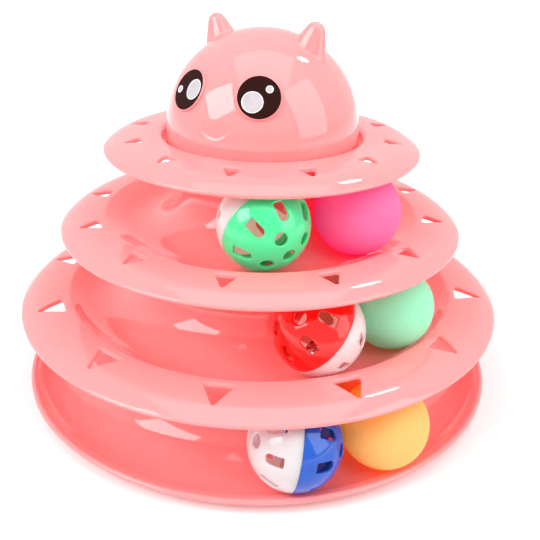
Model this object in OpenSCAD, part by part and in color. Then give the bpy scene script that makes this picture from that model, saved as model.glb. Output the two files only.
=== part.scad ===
// Three tier ball track toy for cats: stacked round mouldings with a track between each pair,
// two balls in every track, and a cat's head on top.
// Millimetres. The tower's axis is Z, the floor is z = 0 and the face looks along -Y.

/* [Balls] */
// Diameter of the cage balls
cage_d = 41; // [39:0.5:41.5]
// How much smaller a foam ball is than a cage ball
foam_less = 1; // [0:0.5:3]
// Wall of the two halves of a cage ball
cage_wall = 1.3; // [1:0.1:1.8]
// Width of the arched slots in a cage ball
slot_w = 4.7; // [3:0.1:5]
// Length of the arched slots in a cage ball
slot_l = 8.4; // [6.5:0.1:9.2]
// Diameter of the round holes in a cage ball
cage_hole_d = 5.8; // [4:0.1:6.5]
// Diameter of the jingle bell inside a cage ball
bell_d = 12; // [9:0.5:13]
// Diameter of the pellet inside a bell
pellet_d = 3.4; // [2.5:0.1:5]

/* [Tracks] */
// Width of the tray's floor past the balls' circle, as a share of the track's round section
tray_lip_share = 0.6197; // [0.5:0.01:0.72]
// Radius of the lower tier's track, as a share of the tray's
lower_track_share = 0.76038; // [0.72:0.001:0.79]
// Radius of the middle tier's track, as a share of the lower tier's
middle_track_share = 0.73573; // [0.7:0.001:0.76]
// Play between a cage ball and the round section of its track
track_play = 0.8; // [0.6:0.1:1.2]
// Clearance drawn between a resting ball and its track
rest_gap = 0.3; // [0.2:0.05:0.4]

/* [Flanges] */
// Outer radius of the tower, at the lower tier's flange
tower_r = 122.5; // [105:0.5:150]
// Inset of the tray's rim from the lower tier's
tray_rim_inset = 0.1; // [0:0.1:2]
// Width of the tray's rounded rim
tray_rim_w = 3.2; // [2.8:0.1:4]
// Inset of the skirt's foot from the tray's rim
skirt_inset = 4.6; // [3:0.1:6]
// Width of the middle tier's flange from its crest
middle_flange_w = 20.96; // [17:0.1:27]
// Width of the top flange from its crest
top_flange_w = 25.8; // [23:0.1:31]
// Height of a tier's crest above its rim
crest_h = 6.1; // [5.6:0.1:6.6]
// Height of the top flange's crest above its rim
top_crest_h = 6.5; // [6:0.1:6.9]
// Slope of a flange where its rounded shoulder begins, in degrees
shoulder_slope = 6.5; // [4:0.5:9]
// Slope of a flange at its edge, in degrees
edge_slope = 38; // [34:1:50]
// Radius that rounds the crest over into the track
crest_round = 3.2; // [2.8:0.1:4]
// Extra width of the slope between track and crest on the lower tier
lower_ramp = 0.3; // [0.2:0.1:3]
// Extra width of the slope between track and crest on the middle tier
middle_ramp = 2.4; // [0.5:0.1:5]
// Radius that rolls the top flange down into the head's recess
roll_r = 2.5; // [2.3:0.1:3]

/* [Heights] */
// Height of the lower tier's rim above the tops of the balls in the tray
lower_lift = 0.6; // [0.3:0.1:3]
// Height of the middle tier's rim above the tops of the balls on the lower tier
middle_lift = 1.5; // [1:0.1:4]
// Height of the top flange's rim above the tops of the balls on the middle tier
top_lift = -1.9; // [-2:0.1:1]
// Depth of the lower tier's track below its rim
lower_drop = 2.7; // [2:0.1:3.2]
// Depth of the middle tier's track below its rim
middle_drop = 0.8; // [0.2:0.1:1.6]
// Depth of the recess that the head stands in
recess_depth = 3.9; // [3.6:0.1:4]

/* [Mouldings] */
// Wall of the tray, the tiers and the top flange
wall = 2.2; // [1.8:0.1:2.4]
// Thickness of the collar at the top of a hub
collar_t = 4.5; // [4:0.1:6]
// Height of the collar at the top of a hub
collar_h = 11; // [10:0.5:14]
// Depth of the spigot under each tier
spigot_h = 8; // [7:0.5:9]
// Gap all round a spigot in its collar
spigot_fit = 0.1; // [0.05:0.01:0.2]
// Height of the flat seat under each tier
seat_t = 0.5; // [0.4:0.1:1]
// Height of a twist lock lug
lug_h = 2.6; // [2:0.1:3]
// Depth that a lug stands out of its spigot
lug_d = 1.6; // [1:0.1:2]
// Angle that a lug spans, in degrees
lug_deg = 9; // [7:1:14]

/* [Flange holes] */
// Number of triangular holes round each flange
hole_count = 12; // [8:1:14]
// Length of the holes in the lower flange
lower_hole_l = 12.6; // [9:0.1:13]
// Width of the holes in the lower flange
lower_hole_w = 14; // [10:0.1:16]
// Length of the holes in the middle flange
middle_hole_l = 9.7; // [7:0.1:11]
// Width of the holes in the middle flange
middle_hole_w = 10.8; // [8:0.1:12]
// Length of the holes in the top flange
top_hole_l = 8.3; // [6:0.1:11]
// Width of the holes in the top flange
top_hole_w = 8.6; // [6:0.1:10]
// Distance from the crest to the holes on both tiers
tier_hole_inset = 2.4; // [1.5:0.1:3.2]
// Distance from the crest to the holes on the top flange
top_hole_inset = 8.1; // [5:0.1:9]
// Corner radius of the holes
hole_round = 1.1; // [0.6:0.1:1.6]

/* [Head] */
// How far the domed head reaches out past the middle tier's hub
dome_overhang = 8.6; // [7.5:0.1:11]
// Height of the dome's centre above its foot
dome_skirt = 5.8; // [4:0.1:9]
// Draft that widens the head's skirt at its foot
skirt_draft = 0.6; // [0.2:0.1:1]
// Wall of the head
dome_wall = 2.2; // [1.8:0.1:3]
// Gap between the head and the wall of its recess
recess_gap = 1.2; // [0.8:0.1:2.5]
// Radius of an ear's rounded tip, as a share of the dome's radius
ear_tip_share = 0.0966; // [0.08:0.001:0.12]
// Radius of an ear near the dome, as a share of the dome's radius
ear_base_share = 0.1781; // [0.16:0.001:0.21]
// Distance of an ear's tip from the face's middle plane, as a share of the dome's radius
ear_tip_x_share = 0.5536; // [0.5:0.001:0.6]
// Distance of an ear's base from the face's middle plane, as a share of the dome's radius
ear_base_x_share = 0.4828; // [0.43:0.001:0.51]
// Height of an ear's tip centre above the dome's centre, as a share of the dome's radius
ear_tip_z_share = 1; // [0.95:0.001:1.07]
// Height of an ear's base centre above the dome's centre, as a share of the dome's radius
ear_base_z_share = 0.7897; // [0.73:0.001:0.81]
// Diameter of an eye sticker, as a share of the dome's radius
eye_share = 0.4034; // [0.32:0.001:0.45]
// Thickness of an eye sticker
eye_t = 0.3; // [0.2:0.05:0.5]
// Diameter of the large light dot, as a share of the eye's
big_dot_share = 0.5; // [0.35:0.01:0.55]
// Diameter of the small light dot, as a share of the eye's
small_dot_share = 0.2128; // [0.16:0.01:0.26]
// Distance of the large dot from the middle of the eye, as a share of the eye's diameter
big_shift_share = 0.1809; // [0.14:0.01:0.21]
// Distance of the small dot from the middle of the eye, as a share of the eye's diameter
small_shift_share = 0.3191; // [0.3:0.01:0.36]
// Radius of the smile's outline, as a share of the dome's radius
smile_share = 0.1803; // [0.13:0.001:0.19]
// Radius of the smile's corners, as a share of the smile's radius
smile_corner_share = 0.1667; // [0.08:0.01:0.28]
// Depth of the smile pressed into the head
smile_depth = 0.8; // [0.4:0.1:1.2]

/* [Feet] */
// Diameter of the anti-slip pads
pad_d = 16; // [10:0.5:18]
// Thickness of the anti-slip pads
pad_h = 1.5; // [1:0.1:3]

/* [Hidden] */

$fn = 96;
// Steps in one rounded stretch of an outline
arc_steps = 10;
// How far every cutter runs past what it cuts
overrun = 1;
// How far a flange's edge stands above the height that its outline is set from, as a share
rim_lift_share = 0.24;
// Angles where the tray's lip starts and where it takes over from the track, in degrees
lip_start = 70;
lip_blend = 6.5;

// Angles round the tower, in degrees, counted anticlockwise seen from above, -90 at the face
face_angle = -90;
lower_hole_angle = 20.5;
middle_hole_angle = 19.8;
top_hole_angle = 17.8;
blue_angle = -51.8;
red_angle = -41.8;
green_angle = -59.5;
first_pad_angle = -45;
pad_count = 4;
lug_count = 3;
hook_count = 3;

// Gaps between the two balls of the tray, the lower tier and the middle tier
tray_ball_gap = 1.77;
lower_ball_gap = 1.49;
middle_ball_gap = 5.94;

// Directions of the coloured halves: azimuth, elevation and spin about their own poles
green_aim = [-25.4, -21.6, 30.4];
red_aim = [-134.6, 41, 9.4];
blue_aim = [32, -7.9, 57.5];
// Spins of the white halves about the opposite poles
green_white_spin = 30;
red_white_spin = 33;
blue_white_spin = 34.3;
// Pattern of a cage ball's half: the slots' and the small ring's angles from the pole
slot_tilt = 58.5;
ring_tilt = 28.5;
slot_count = 8;
ring_count = 4;

// Places on the face, in degrees
right_eye_side = 26.9;
right_eye_lat = 30.5;
left_eye_side = -29;
left_eye_lat = 29.6;
right_dot_tilt = 39;
left_dot_tilt = -10;
smile_lat = 14.8;
smile_side = 1.5;

// Sizes that follow from the ones above
ball_r = cage_d / 2;
foam_r = ball_r - foam_less / 2;
channel_r = ball_r + track_play;
lower_rim_r = tower_r;
tray_rim_r = tower_r - tray_rim_inset;
skirt_foot_r = tray_rim_r - skirt_inset;
tray_track_r = tray_rim_r - tray_rim_w - tray_lip_share * channel_r;
lower_track_r = lower_track_share * tray_track_r;
middle_track_r = middle_track_share * lower_track_r;
yellow_angle = blue_angle + ball_step(tray_track_r, tray_ball_gap);
mint_angle = red_angle + ball_step(lower_track_r, lower_ball_gap);
pink_angle = green_angle + ball_step(middle_track_r, middle_ball_gap);
tray_floor_z = pad_h + wall;
lower_rim_z = tray_floor_z + cage_d + lower_lift;
lower_floor_z = lower_rim_z - lower_drop;
middle_rim_z = lower_floor_z + cage_d + middle_lift;
middle_floor_z = middle_rim_z - middle_drop;
top_rim_z = middle_floor_z + cage_d + top_lift;
lower_crest_r = lower_track_r + crest_reach(lower_drop + crest_h) + lower_ramp;
middle_crest_r = middle_track_r + crest_reach(middle_drop + crest_h) + middle_ramp;
middle_rim_r = middle_crest_r + middle_flange_w;
tray_hub_r = tray_track_r - channel_r;
lower_hub_r = lower_track_r - channel_r;
middle_hub_r = middle_track_r - channel_r;
dome_r = middle_hub_r + dome_overhang;
recess_r = dome_r + skirt_draft + recess_gap;
top_crest_r = recess_r + roll_r;
top_rim_r = top_crest_r + top_flange_w;
disc_z = top_rim_z + top_crest_h - recess_depth;
dome_z = disc_z + dome_skirt;
lower_seat_z = lower_floor_z - wall - seat_t;
middle_seat_z = middle_floor_z - wall - seat_t;
top_seat_z = disc_z - wall - seat_t;
tray_lip_angle = asin(tray_lip_share);
tray_lip_z = tray_floor_z + channel_r * (1 - cos(tray_lip_angle));
ear_tip_r = ear_tip_share * dome_r;
ear_base_r = ear_base_share * dome_r;
ear_tip_x = ear_tip_x_share * dome_r;
ear_base_x = ear_base_x_share * dome_r;
ear_tip_z = ear_tip_z_share * dome_r;
ear_base_z = ear_base_z_share * dome_r;
eye_d = eye_share * dome_r;
big_dot_d = big_dot_share * eye_d;
small_dot_d = small_dot_share * eye_d;
big_dot_shift = big_shift_share * eye_d;
small_dot_shift = small_shift_share * eye_d;
smile_r = smile_share * dome_r;
smile_corner = smile_corner_share * smile_r;

// Twist lock: the lugs sit this far above a spigot's end and this far round from their entries
lug_foot = 1.4;
lug_play = 0.3;
lug_turn = 14;

// Hooks that hold the head in the top flange
hook_t = 2;
hook_w = 10;
hook_lip = 1.4;
hook_lip_h = 1.6;
hook_play = 0.3;
hook_rise = 3;
hook_r = dome_r - dome_wall - hook_t - hook_play;
disc_hole_share = 0.641;
disc_hole_r = disc_hole_share * (middle_hub_r - collar_t - spigot_fit - wall);

// The cage ball's snap lip, the bell's wall and slit, and the gaps round loose pieces
lip_t = 0.45;
lip_h = 1.5;
lip_fit = 0.15;
lip_bite = 0.5;
bell_wall = 0.5;
bell_slit_w = 1.2;
bell_eye_d = 2.4;
bell_gap = 0.3;
pellet_gap = 0.15;
bell_drop = ball_r - cage_wall - lip_t - lip_fit - bell_gap - bell_d / 2;

// Depth that an ear reaches down past its base's centre
ear_sink_share = 0.15;
ear_sink = ear_sink_share * dome_r;

// Seats of the stickers and their printed dots, and the pads' bosses
sticker_gap = 0.02;
dot_t = 0.1;
boss_margin = 1;

pink = "#ffa6a8";
jet = "#1c1414";
pale_grey = "#dcdadd";
pad_grey = "#e4e2e0";
cage_white = "#f3ecee";
steel = "#b9bcc0";

// Horizontal reach of the two tangent arcs that climb dz from a track to a crest
function crest_reach(dz) = sqrt(2 * (channel_r + crest_round) * dz - dz * dz);

// Angle round the tower between a cage ball and the foam ball a gap away, in degrees
function ball_step(track_r, gap) = 2 * asin((ball_r + foam_r + gap) / 2 / track_r);

// Point on a circle, by the angle from straight up, positive outwards
function over(c, r, s) = c + r * [sin(s), cos(s)];

// Point on a circle, by the angle from straight down, positive outwards
function under(c, r, u) = c + r * [sin(u), -cos(u)];

function arc_over(c, r, s0, s1) = [for (i = [0:arc_steps]) over(c, r, s0 + (s1 - s0) * i / arc_steps)];

function arc_under(c, r, u0, u1) = [for (i = [0:arc_steps]) under(c, r, u0 + (u1 - u0) * i / arc_steps)];

function reversed(pts) = [for (i = [len(pts) - 1:-1:0]) pts[i]];

// Radius of a flange's shoulder along the middle of its wall, from the flange's width and height
function shoulder_r(w, h) =
    let (t = tan(shoulder_slope / 2), across = w - wall / 2, down = h - (1 + rim_lift_share) * wall / 2)
    (down - across * t)
    / (cos(shoulder_slope) - cos(edge_slope) - (sin(edge_slope) - sin(shoulder_slope)) * t);

// Radius of the gentle arc between the crest and the shoulder
function dish_r(w, h) =
    (w - wall / 2 - shoulder_r(w, h) * (sin(edge_slope) - sin(shoulder_slope))) / sin(shoulder_slope);

function dish_centre(crest, w, h) = crest - [0, dish_r(w, h) + wall / 2];

function shoulder_centre(crest, w, h) =
    over(dish_centre(crest, w, h), dish_r(w, h) - shoulder_r(w, h), shoulder_slope);

// A flange from its edge to its crest, d below its upper surface
function flange_path(crest, w, h, d) = concat(
    arc_over(shoulder_centre(crest, w, h), shoulder_r(w, h) + wall / 2 - d, edge_slope, shoulder_slope),
    arc_over(dish_centre(crest, w, h), dish_r(w, h) + wall / 2 - d, shoulder_slope, 0));

// The round end of a flange's edge, from its lower to its upper surface
function edge_path(crest, w, h) =
    let (c = over(shoulder_centre(crest, w, h), shoulder_r(w, h), edge_slope))
    [for (i = [1:arc_steps - 1]) over(c, wall / 2, edge_slope + 180 - 180 * i / arc_steps)];

// Slope of the straight run between a track's arc and a crest's arc
function ramp_angle(dx, dz) =
    let (c = [dx, dz - channel_r - crest_round])
    atan2(c.y, c.x) + asin((channel_r + crest_round) / norm(c));

// A tier from its crest down through the track to the foot of its hub, d below the upper surface
function track_path(crest, track_r, floor_z, d) =
    let (a = ramp_angle(crest.x - track_r, crest.y - floor_z))
    concat(
        arc_over(crest - [0, crest_round], crest_round - d, 0, -a),
        arc_under([track_r, floor_z + channel_r], channel_r + d, a, -90));

// A polygon's corners rounded by r
function rounded(pts, r) = [
    for (k = [0:len(pts) - 1])
        let (
            p = pts[k],
            a = pts[(k + len(pts) - 1) % len(pts)] - p,
            b = pts[(k + 1) % len(pts)] - p,
            ua = a / norm(a),
            ub = b / norm(b),
            half = acos(ua * ub) / 2,
            mid = (ua + ub) / norm(ua + ub),
            c = p + mid * r / sin(half),
            start = atan2(-ua.x, ua.y),
            side = ua.x * ub.y - ua.y * ub.x > 0 ? 1 : -1,
            turn = 180 - 2 * half
        )
        for (i = [0:4])
            let (q = (i / 4 - 0.5) * turn * -side, m = -mid)
            c + r * [m.x * cos(q) - m.y * sin(q), m.x * sin(q) + m.y * cos(q)]
];

module ring_section(r0, r1, z0, z1) {
    translate([r0, z0])
        square([r1 - r0, z1 - z0]);
}

// Lugs round a spigot, which turn under the collar of the hub below
module lugs(spigot_r, seat_z) {
    for (k = [0:lug_count - 1])
        rotate([0, 0, face_angle + lug_turn + k * 360 / lug_count])
            rotate_extrude(angle = lug_deg)
                ring_section(spigot_r - wall / 2, spigot_r + lug_d,
                    seat_z - spigot_h + lug_foot, seat_z - spigot_h + lug_foot + lug_h);
}

// Entries and runs for those lugs, cut in a hub's collar
module lug_grooves(collar_r, seat_z) {
    depth = lug_d + lug_play;
    foot = seat_z - spigot_h + lug_foot - lug_play;
    for (k = [0:lug_count - 1])
        rotate([0, 0, face_angle + k * 360 / lug_count]) {
            rotate([0, 0, -1])
                rotate_extrude(angle = lug_deg + 2)
                    ring_section(collar_r - overrun, collar_r + depth, foot, seat_z + overrun);
            rotate([0, 0, -1])
                rotate_extrude(angle = lug_turn + lug_deg + 2)
                    ring_section(collar_r - overrun, collar_r + depth, foot, foot + lug_h + 2 * lug_play);
        }
}

// Rounded triangle, its base inwards and its point outwards
module hole_cutters(start_r, l, w, first_angle, rim_z) {
    tri = [[start_r, -w / 2], [start_r + l + hole_round, 0], [start_r, w / 2]];
    for (k = [0:hole_count - 1])
        rotate([0, 0, face_angle + first_angle + k * 360 / hole_count])
            translate([0, 0, rim_z - overrun])
                linear_extrude(height = crest_h + 2 * overrun)
                    polygon(rounded(tri, hole_round));
}

// One tier: flange, track, hub with its collar, and the spigot and seat that stand in the hub below
module tier(rim_r, rim_z, track_r, floor_z, crest_r, below_hub_r, seat_z, hub_top_z,
        hole_l, hole_w, hole_angle) {
    crest = [crest_r, rim_z + crest_h];
    hub_r = track_r - channel_r;
    w = rim_r - crest_r;
    upper = concat(flange_path(crest, w, crest_h, 0), track_path(crest, track_r, floor_z, 0));
    lower = concat(flange_path(crest, w, crest_h, wall), track_path(crest, track_r, floor_z, wall));
    spigot_r = below_hub_r - collar_t - spigot_fit;
    difference() {
        union() {
            rotate_extrude() {
                polygon(concat(edge_path(crest, w, crest_h), upper,
                    [[hub_r, hub_top_z], [hub_r - wall, hub_top_z]], reversed(lower)));
                ring_section(hub_r - collar_t, hub_r - wall / 2, hub_top_z - collar_h, hub_top_z);
                difference() {
                    union() {
                        ring_section(spigot_r - wall, spigot_r, seat_z - spigot_h, floor_z + channel_r);
                        ring_section(spigot_r - wall, below_hub_r, seat_z, floor_z + channel_r);
                    }
                    polygon(concat([[rim_r, floor_z + cage_d]], upper, [[hub_r, floor_z + cage_d]]));
                }
            }
            lugs(spigot_r, seat_z);
        }
        lug_grooves(hub_r - collar_t, hub_top_z);
        hole_cutters(crest_r + tier_hole_inset, hole_l, hole_w, hole_angle, rim_z);
    }
}

module base_tray() {
    centre = [tray_track_r, tray_floor_z + channel_r];
    lip_r = tray_rim_w / 2;
    lip = [tray_rim_r - lip_r, tray_lip_z - lip_r];
    color(pink)
        difference() {
            union() {
                rotate_extrude() {
                    polygon(concat(
                        arc_under(centre, channel_r, -90, tray_lip_angle - lip_blend),
                        arc_over(lip, lip_r, -lip_start, 90),
                        [[lip.x, lip.y - lip_r]],
                        reversed(arc_under(centre, channel_r + wall, -90, tray_lip_angle - lip_blend)),
                        [[tray_hub_r - wall, lower_seat_z], [tray_hub_r, lower_seat_z]]));
                    ring_section(tray_hub_r - collar_t, tray_hub_r - wall / 2,
                        lower_seat_z - collar_h, lower_seat_z);
                    polygon([
                        [tray_rim_r, lip.y], [skirt_foot_r, pad_h],
                        [skirt_foot_r - wall, pad_h], [tray_rim_r - wall, lip.y]]);
                }
                for (k = [0:pad_count - 1])
                    rotate([0, 0, first_pad_angle + k * 360 / pad_count])
                        translate([tray_track_r, 0, pad_h])
                            cylinder(r = pad_d / 2 + boss_margin, h = wall * 3 / 4);
            }
            lug_grooves(tray_hub_r - collar_t, lower_seat_z);
        }
}

module lower_tier() {
    color(pink)
        tier(lower_rim_r, lower_rim_z, lower_track_r, lower_floor_z, lower_crest_r,
            tray_hub_r, lower_seat_z, middle_seat_z, lower_hole_l, lower_hole_w, lower_hole_angle);
}

module middle_tier() {
    color(pink)
        tier(middle_rim_r, middle_rim_z, middle_track_r, middle_floor_z, middle_crest_r,
            lower_hub_r, middle_seat_z, top_seat_z, middle_hole_l, middle_hole_w, middle_hole_angle);
}

// Flange with the head's recess, a disc under the head and the spigot in the middle tier's hub
module top_flange() {
    crest = [top_crest_r, top_rim_z + top_crest_h];
    w = top_rim_r - top_crest_r;
    spigot_r = middle_hub_r - collar_t - spigot_fit;
    color(pink)
        difference() {
            union() {
                rotate_extrude() {
                    polygon(concat(
                        edge_path(crest, w, top_crest_h), flange_path(crest, w, top_crest_h, 0),
                        arc_over(crest - [0, roll_r], roll_r, 0, -90),
                        [[recess_r, disc_z], [disc_hole_r, disc_z], [disc_hole_r, disc_z - wall]],
                        arc_under([recess_r, disc_z], wall, 0, 90),
                        reversed(arc_over(crest - [0, roll_r], roll_r - wall, 0, -90)),
                        reversed(flange_path(crest, w, top_crest_h, wall))));
                    ring_section(spigot_r - wall, middle_hub_r, top_seat_z, disc_z - wall / 2);
                    ring_section(spigot_r - wall, spigot_r, top_seat_z - spigot_h, disc_z - wall / 2);
                }
                lugs(spigot_r, top_seat_z);
            }
            hole_cutters(top_crest_r + top_hole_inset, top_hole_l, top_hole_w, top_hole_angle, top_rim_z);
            for (k = [0:hook_count - 1])
                rotate([0, 0, face_angle + k * 360 / hook_count])
                    translate([hook_r - hook_play, -hook_w / 2 - hook_play, disc_z - wall - overrun])
                        cube([hook_t + 2 * hook_play, hook_w + 2 * hook_play, wall + 2 * overrun]);
        }
}

// Rounded cone between the ear's two centres, its base sunk in the dome
module ear(side) {
    tip = [side * ear_tip_x, 0, ear_tip_z];
    base = [side * ear_base_x, 0, ear_base_z];
    axis = tip - base;
    l = norm(axis);
    taper = asin((ear_base_r - ear_tip_r) / l);
    translate(base)
        rotate([0, atan2(axis.x, axis.z), 0])
            rotate_extrude()
                polygon(concat(
                    [[0, -ear_sink], [ear_base_r / cos(taper) + ear_sink * tan(taper), -ear_sink]],
                    arc_over([0, l], ear_tip_r, 90 - taper, 0)));
}

// Half round with its flat side up and its two corners rounded
module smile_shape() {
    across = sqrt(smile_r * smile_r - 2 * smile_r * smile_corner);
    dip = asin(smile_corner / (smile_r - smile_corner));
    polygon(concat(
        arc_over([across, -smile_corner], smile_corner, 0, 90 + dip),
        arc_over([0, 0], smile_r, 90 + dip, 270 - dip),
        arc_over([-across, -smile_corner], smile_corner, 270 - dip, 360)));
}

// Turns local +Z to a direction on the head, with local +Y up the head
module at_face(side, lat) {
    rotate([0, 0, side])
        rotate([90 - lat, 0, 0])
            children();
}

// Half section of a dome whose skirt widens by the draft down to the head's foot
module dome_section(r, depth) {
    intersection() {
        union() {
            circle(r = r);
            polygon([[0, 0], [r, 0], [r + skirt_draft * depth / dome_skirt, -depth], [0, -depth]]);
        }
        translate([0, -depth])
            square([r + skirt_draft + overrun, r + depth + overrun]);
    }
}

module head() {
    color(pink)
        translate([0, 0, dome_z])
            difference() {
                union() {
                    difference() {
                        union() {
                            rotate_extrude()
                                dome_section(dome_r, dome_skirt);
                            ear(1);
                            ear(-1);
                        }
                        rotate_extrude()
                            dome_section(dome_r - dome_wall, dome_skirt + overrun);
                    }
                    for (k = [0:hook_count - 1])
                        rotate([0, 0, face_angle + k * 360 / hook_count])
                            hook();
                }
                intersection() {
                    at_face(smile_side, smile_lat)
                        linear_extrude(height = dome_r + overrun)
                            smile_shape();
                    difference() {
                        sphere(r = dome_r + overrun);
                        sphere(r = dome_r - smile_depth);
                    }
                }
            }
}

// Leg through the top flange's disc, with a lip that catches under it
module hook() {
    foot = -dome_skirt - wall - hook_play - hook_lip_h;
    translate([hook_r, -hook_w / 2, foot])
        cube([hook_t, hook_w, -foot - dome_skirt + hook_rise]);
    translate([hook_r, -hook_w / 2, foot])
        cube([hook_t + hook_play + hook_lip, hook_w, hook_lip_h]);
    translate([hook_r, -hook_w / 2, -dome_skirt])
        cube([hook_t + hook_play + dome_wall / 2, hook_w, hook_rise]);
}

// A round patch of a thin sphere on the head
module patch(side, lat, shift, tilt, d, r0, r1) {
    intersection() {
        difference() {
            sphere(r = r1);
            sphere(r = r0);
        }
        at_face(side, lat)
            rotate([0, 0, tilt])
                translate([shift, 0, 0])
                    cylinder(d = d, h = dome_r + 2 * overrun);
    }
}

module eye(side, lat) {
    color(jet)
        translate([0, 0, dome_z])
            patch(side, lat, 0, 0, eye_d, dome_r + sticker_gap, dome_r + eye_t);
}

module eye_dots(side, lat, outward) {
    r0 = dome_r + eye_t + sticker_gap;
    color(pale_grey)
        translate([0, 0, dome_z]) {
            patch(side, lat, small_dot_shift, outward, small_dot_d, r0, r0 + dot_t);
            patch(side, lat, -big_dot_shift, outward, big_dot_d, r0, r0 + dot_t);
        }
}

module right_eye() {
    eye(right_eye_side, right_eye_lat);
}

module left_eye() {
    eye(left_eye_side, left_eye_lat);
}

module right_eye_dots() {
    eye_dots(right_eye_side, right_eye_lat, right_dot_tilt);
}

module left_eye_dots() {
    eye_dots(left_eye_side, left_eye_lat, 180 - left_dot_tilt);
}

module pad(k) {
    color(pad_grey)
        rotate([0, 0, first_pad_angle + k * 360 / pad_count])
            translate([tray_track_r, 0, 0])
                cylinder(d = pad_d, h = pad_h);
}

module front_right_pad() {
    pad(0);
}

module rear_right_pad() {
    pad(1);
}

module rear_left_pad() {
    pad(2);
}

module front_left_pad() {
    pad(3);
}

// Moves what follows to a ball's centre
module at_ball(track_r, floor_z, angle, r = ball_r) {
    translate([track_r * cos(angle), track_r * sin(angle), floor_z + r + rest_gap])
        children();
}

// Arch in plan: flat towards the seam, round towards the pole
module slot_shape() {
    translate([-slot_l / 2 + slot_w / 2, 0])
        circle(d = slot_w);
    translate([-slot_l / 2 + slot_w / 2, -slot_w / 2])
        square([slot_l - slot_w / 2, slot_w]);
}

// One half of a cage ball, its pole up
module cage_half(with_lip) {
    inner_r = ball_r - cage_wall;
    cut_r = inner_r - lip_t - lip_fit - overrun;
    difference() {
        union() {
            rotate_extrude()
                intersection() {
                    difference() {
                        circle(r = ball_r);
                        circle(r = inner_r);
                    }
                    square([ball_r + overrun, ball_r + overrun]);
                }
            if (with_lip)
                rotate_extrude()
                    polygon([
                        [inner_r - lip_fit - lip_t, -lip_h], [inner_r - lip_fit, -lip_h],
                        [inner_r - lip_fit, 0], [inner_r + lip_bite, 0],
                        [inner_r + lip_bite, lip_h], [inner_r - lip_fit - lip_t, lip_h]]);
        }
        translate([0, 0, cut_r])
            cylinder(d = cage_hole_d, h = ball_r - cut_r + overrun);
        for (k = [0:ring_count - 1])
            rotate([0, ring_tilt, k * 360 / ring_count])
                translate([0, 0, cut_r])
                    cylinder(d = cage_hole_d, h = ball_r - cut_r + overrun);
        for (k = [0:slot_count - 1])
            rotate([0, slot_tilt, (k + 0.5) * 360 / slot_count])
                translate([0, 0, cut_r])
                    linear_extrude(height = ball_r - cut_r + overrun)
                        slot_shape();
    }
}

// The coloured half, aimed as it lies
module coloured_half(tint, track_r, floor_z, angle, aim) {
    color(tint)
        at_ball(track_r, floor_z, angle)
            rotate([0, 90 - aim[1], aim[0]])
                rotate([0, 0, aim[2]])
                    cage_half(true);
}

// The white half, its pole opposite
module white_half(track_r, floor_z, angle, aim, spin) {
    color(cage_white)
        at_ball(track_r, floor_z, angle)
            rotate([0, 90 + aim[1], aim[0] + 180])
                rotate([0, 0, spin])
                    cage_half(false);
}

// Hollow bell at the bottom of a cage ball, with a slit between two small holes
module bell(track_r, floor_z, angle) {
    color(steel)
        at_ball(track_r, floor_z, angle)
            translate([0, 0, -bell_drop])
                difference() {
                    sphere(d = bell_d);
                    sphere(d = bell_d - 2 * bell_wall);
                    translate([-bell_d / 4, -bell_slit_w / 2, 0])
                        cube([bell_d / 2, bell_slit_w, bell_d]);
                    for (side = [-1, 1])
                        translate([side * bell_d / 4, 0, 0])
                            cylinder(d = bell_eye_d, h = bell_d);
                }
}

module pellet(track_r, floor_z, angle) {
    color(steel)
        at_ball(track_r, floor_z, angle)
            translate([0, 0, -bell_drop - bell_d / 2 + bell_wall + pellet_gap + pellet_d / 2])
                sphere(d = pellet_d);
}

module plain_ball(tint, track_r, floor_z, angle) {
    color(tint)
        at_ball(track_r, floor_z, angle, foam_r)
            sphere(r = foam_r);
}

module green_half() {
    coloured_half("#4fdf96", middle_track_r, middle_floor_z, green_angle, green_aim);
}

module green_white_half() {
    white_half(middle_track_r, middle_floor_z, green_angle, green_aim, green_white_spin);
}

module green_bell() {
    bell(middle_track_r, middle_floor_z, green_angle);
}

module green_pellet() {
    pellet(middle_track_r, middle_floor_z, green_angle);
}

module red_half() {
    coloured_half("#f2211c", lower_track_r, lower_floor_z, red_angle, red_aim);
}

module red_white_half() {
    white_half(lower_track_r, lower_floor_z, red_angle, red_aim, red_white_spin);
}

module red_bell() {
    bell(lower_track_r, lower_floor_z, red_angle);
}

module red_pellet() {
    pellet(lower_track_r, lower_floor_z, red_angle);
}

module blue_half() {
    coloured_half("#1f67d6", tray_track_r, tray_floor_z, blue_angle, blue_aim);
}

module blue_white_half() {
    white_half(tray_track_r, tray_floor_z, blue_angle, blue_aim, blue_white_spin);
}

module blue_bell() {
    bell(tray_track_r, tray_floor_z, blue_angle);
}

module blue_pellet() {
    pellet(tray_track_r, tray_floor_z, blue_angle);
}

module pink_ball() {
    plain_ball("#f75fae", middle_track_r, middle_floor_z, pink_angle);
}

module mint_ball() {
    plain_ball("#7fe3a0", lower_track_r, lower_floor_z, mint_angle);
}

module yellow_ball() {
    plain_ball("#ffb648", tray_track_r, tray_floor_z, yellow_angle);
}

base_tray();
lower_tier();
middle_tier();
top_flange();
head();
right_eye();
right_eye_dots();
left_eye();
left_eye_dots();
front_right_pad();
front_left_pad();
rear_left_pad();
rear_right_pad();
green_half();
green_white_half();
green_bell();
green_pellet();
red_half();
red_white_half();
red_bell();
red_pellet();
blue_half();
blue_white_half();
blue_bell();
blue_pellet();
pink_ball();
mint_ball();
yellow_ball();
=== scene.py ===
"""Looks of a three tier ball track toy for cats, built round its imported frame.

Every size is in metres and every place is in the frame's own axes: the tower's axis is Z,
the floor is z = 0 and the face looks along -Y.
"""

import math

import bmesh
import bpy
import numpy as np
from mathutils import Matrix, Quaternion, Vector


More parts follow.
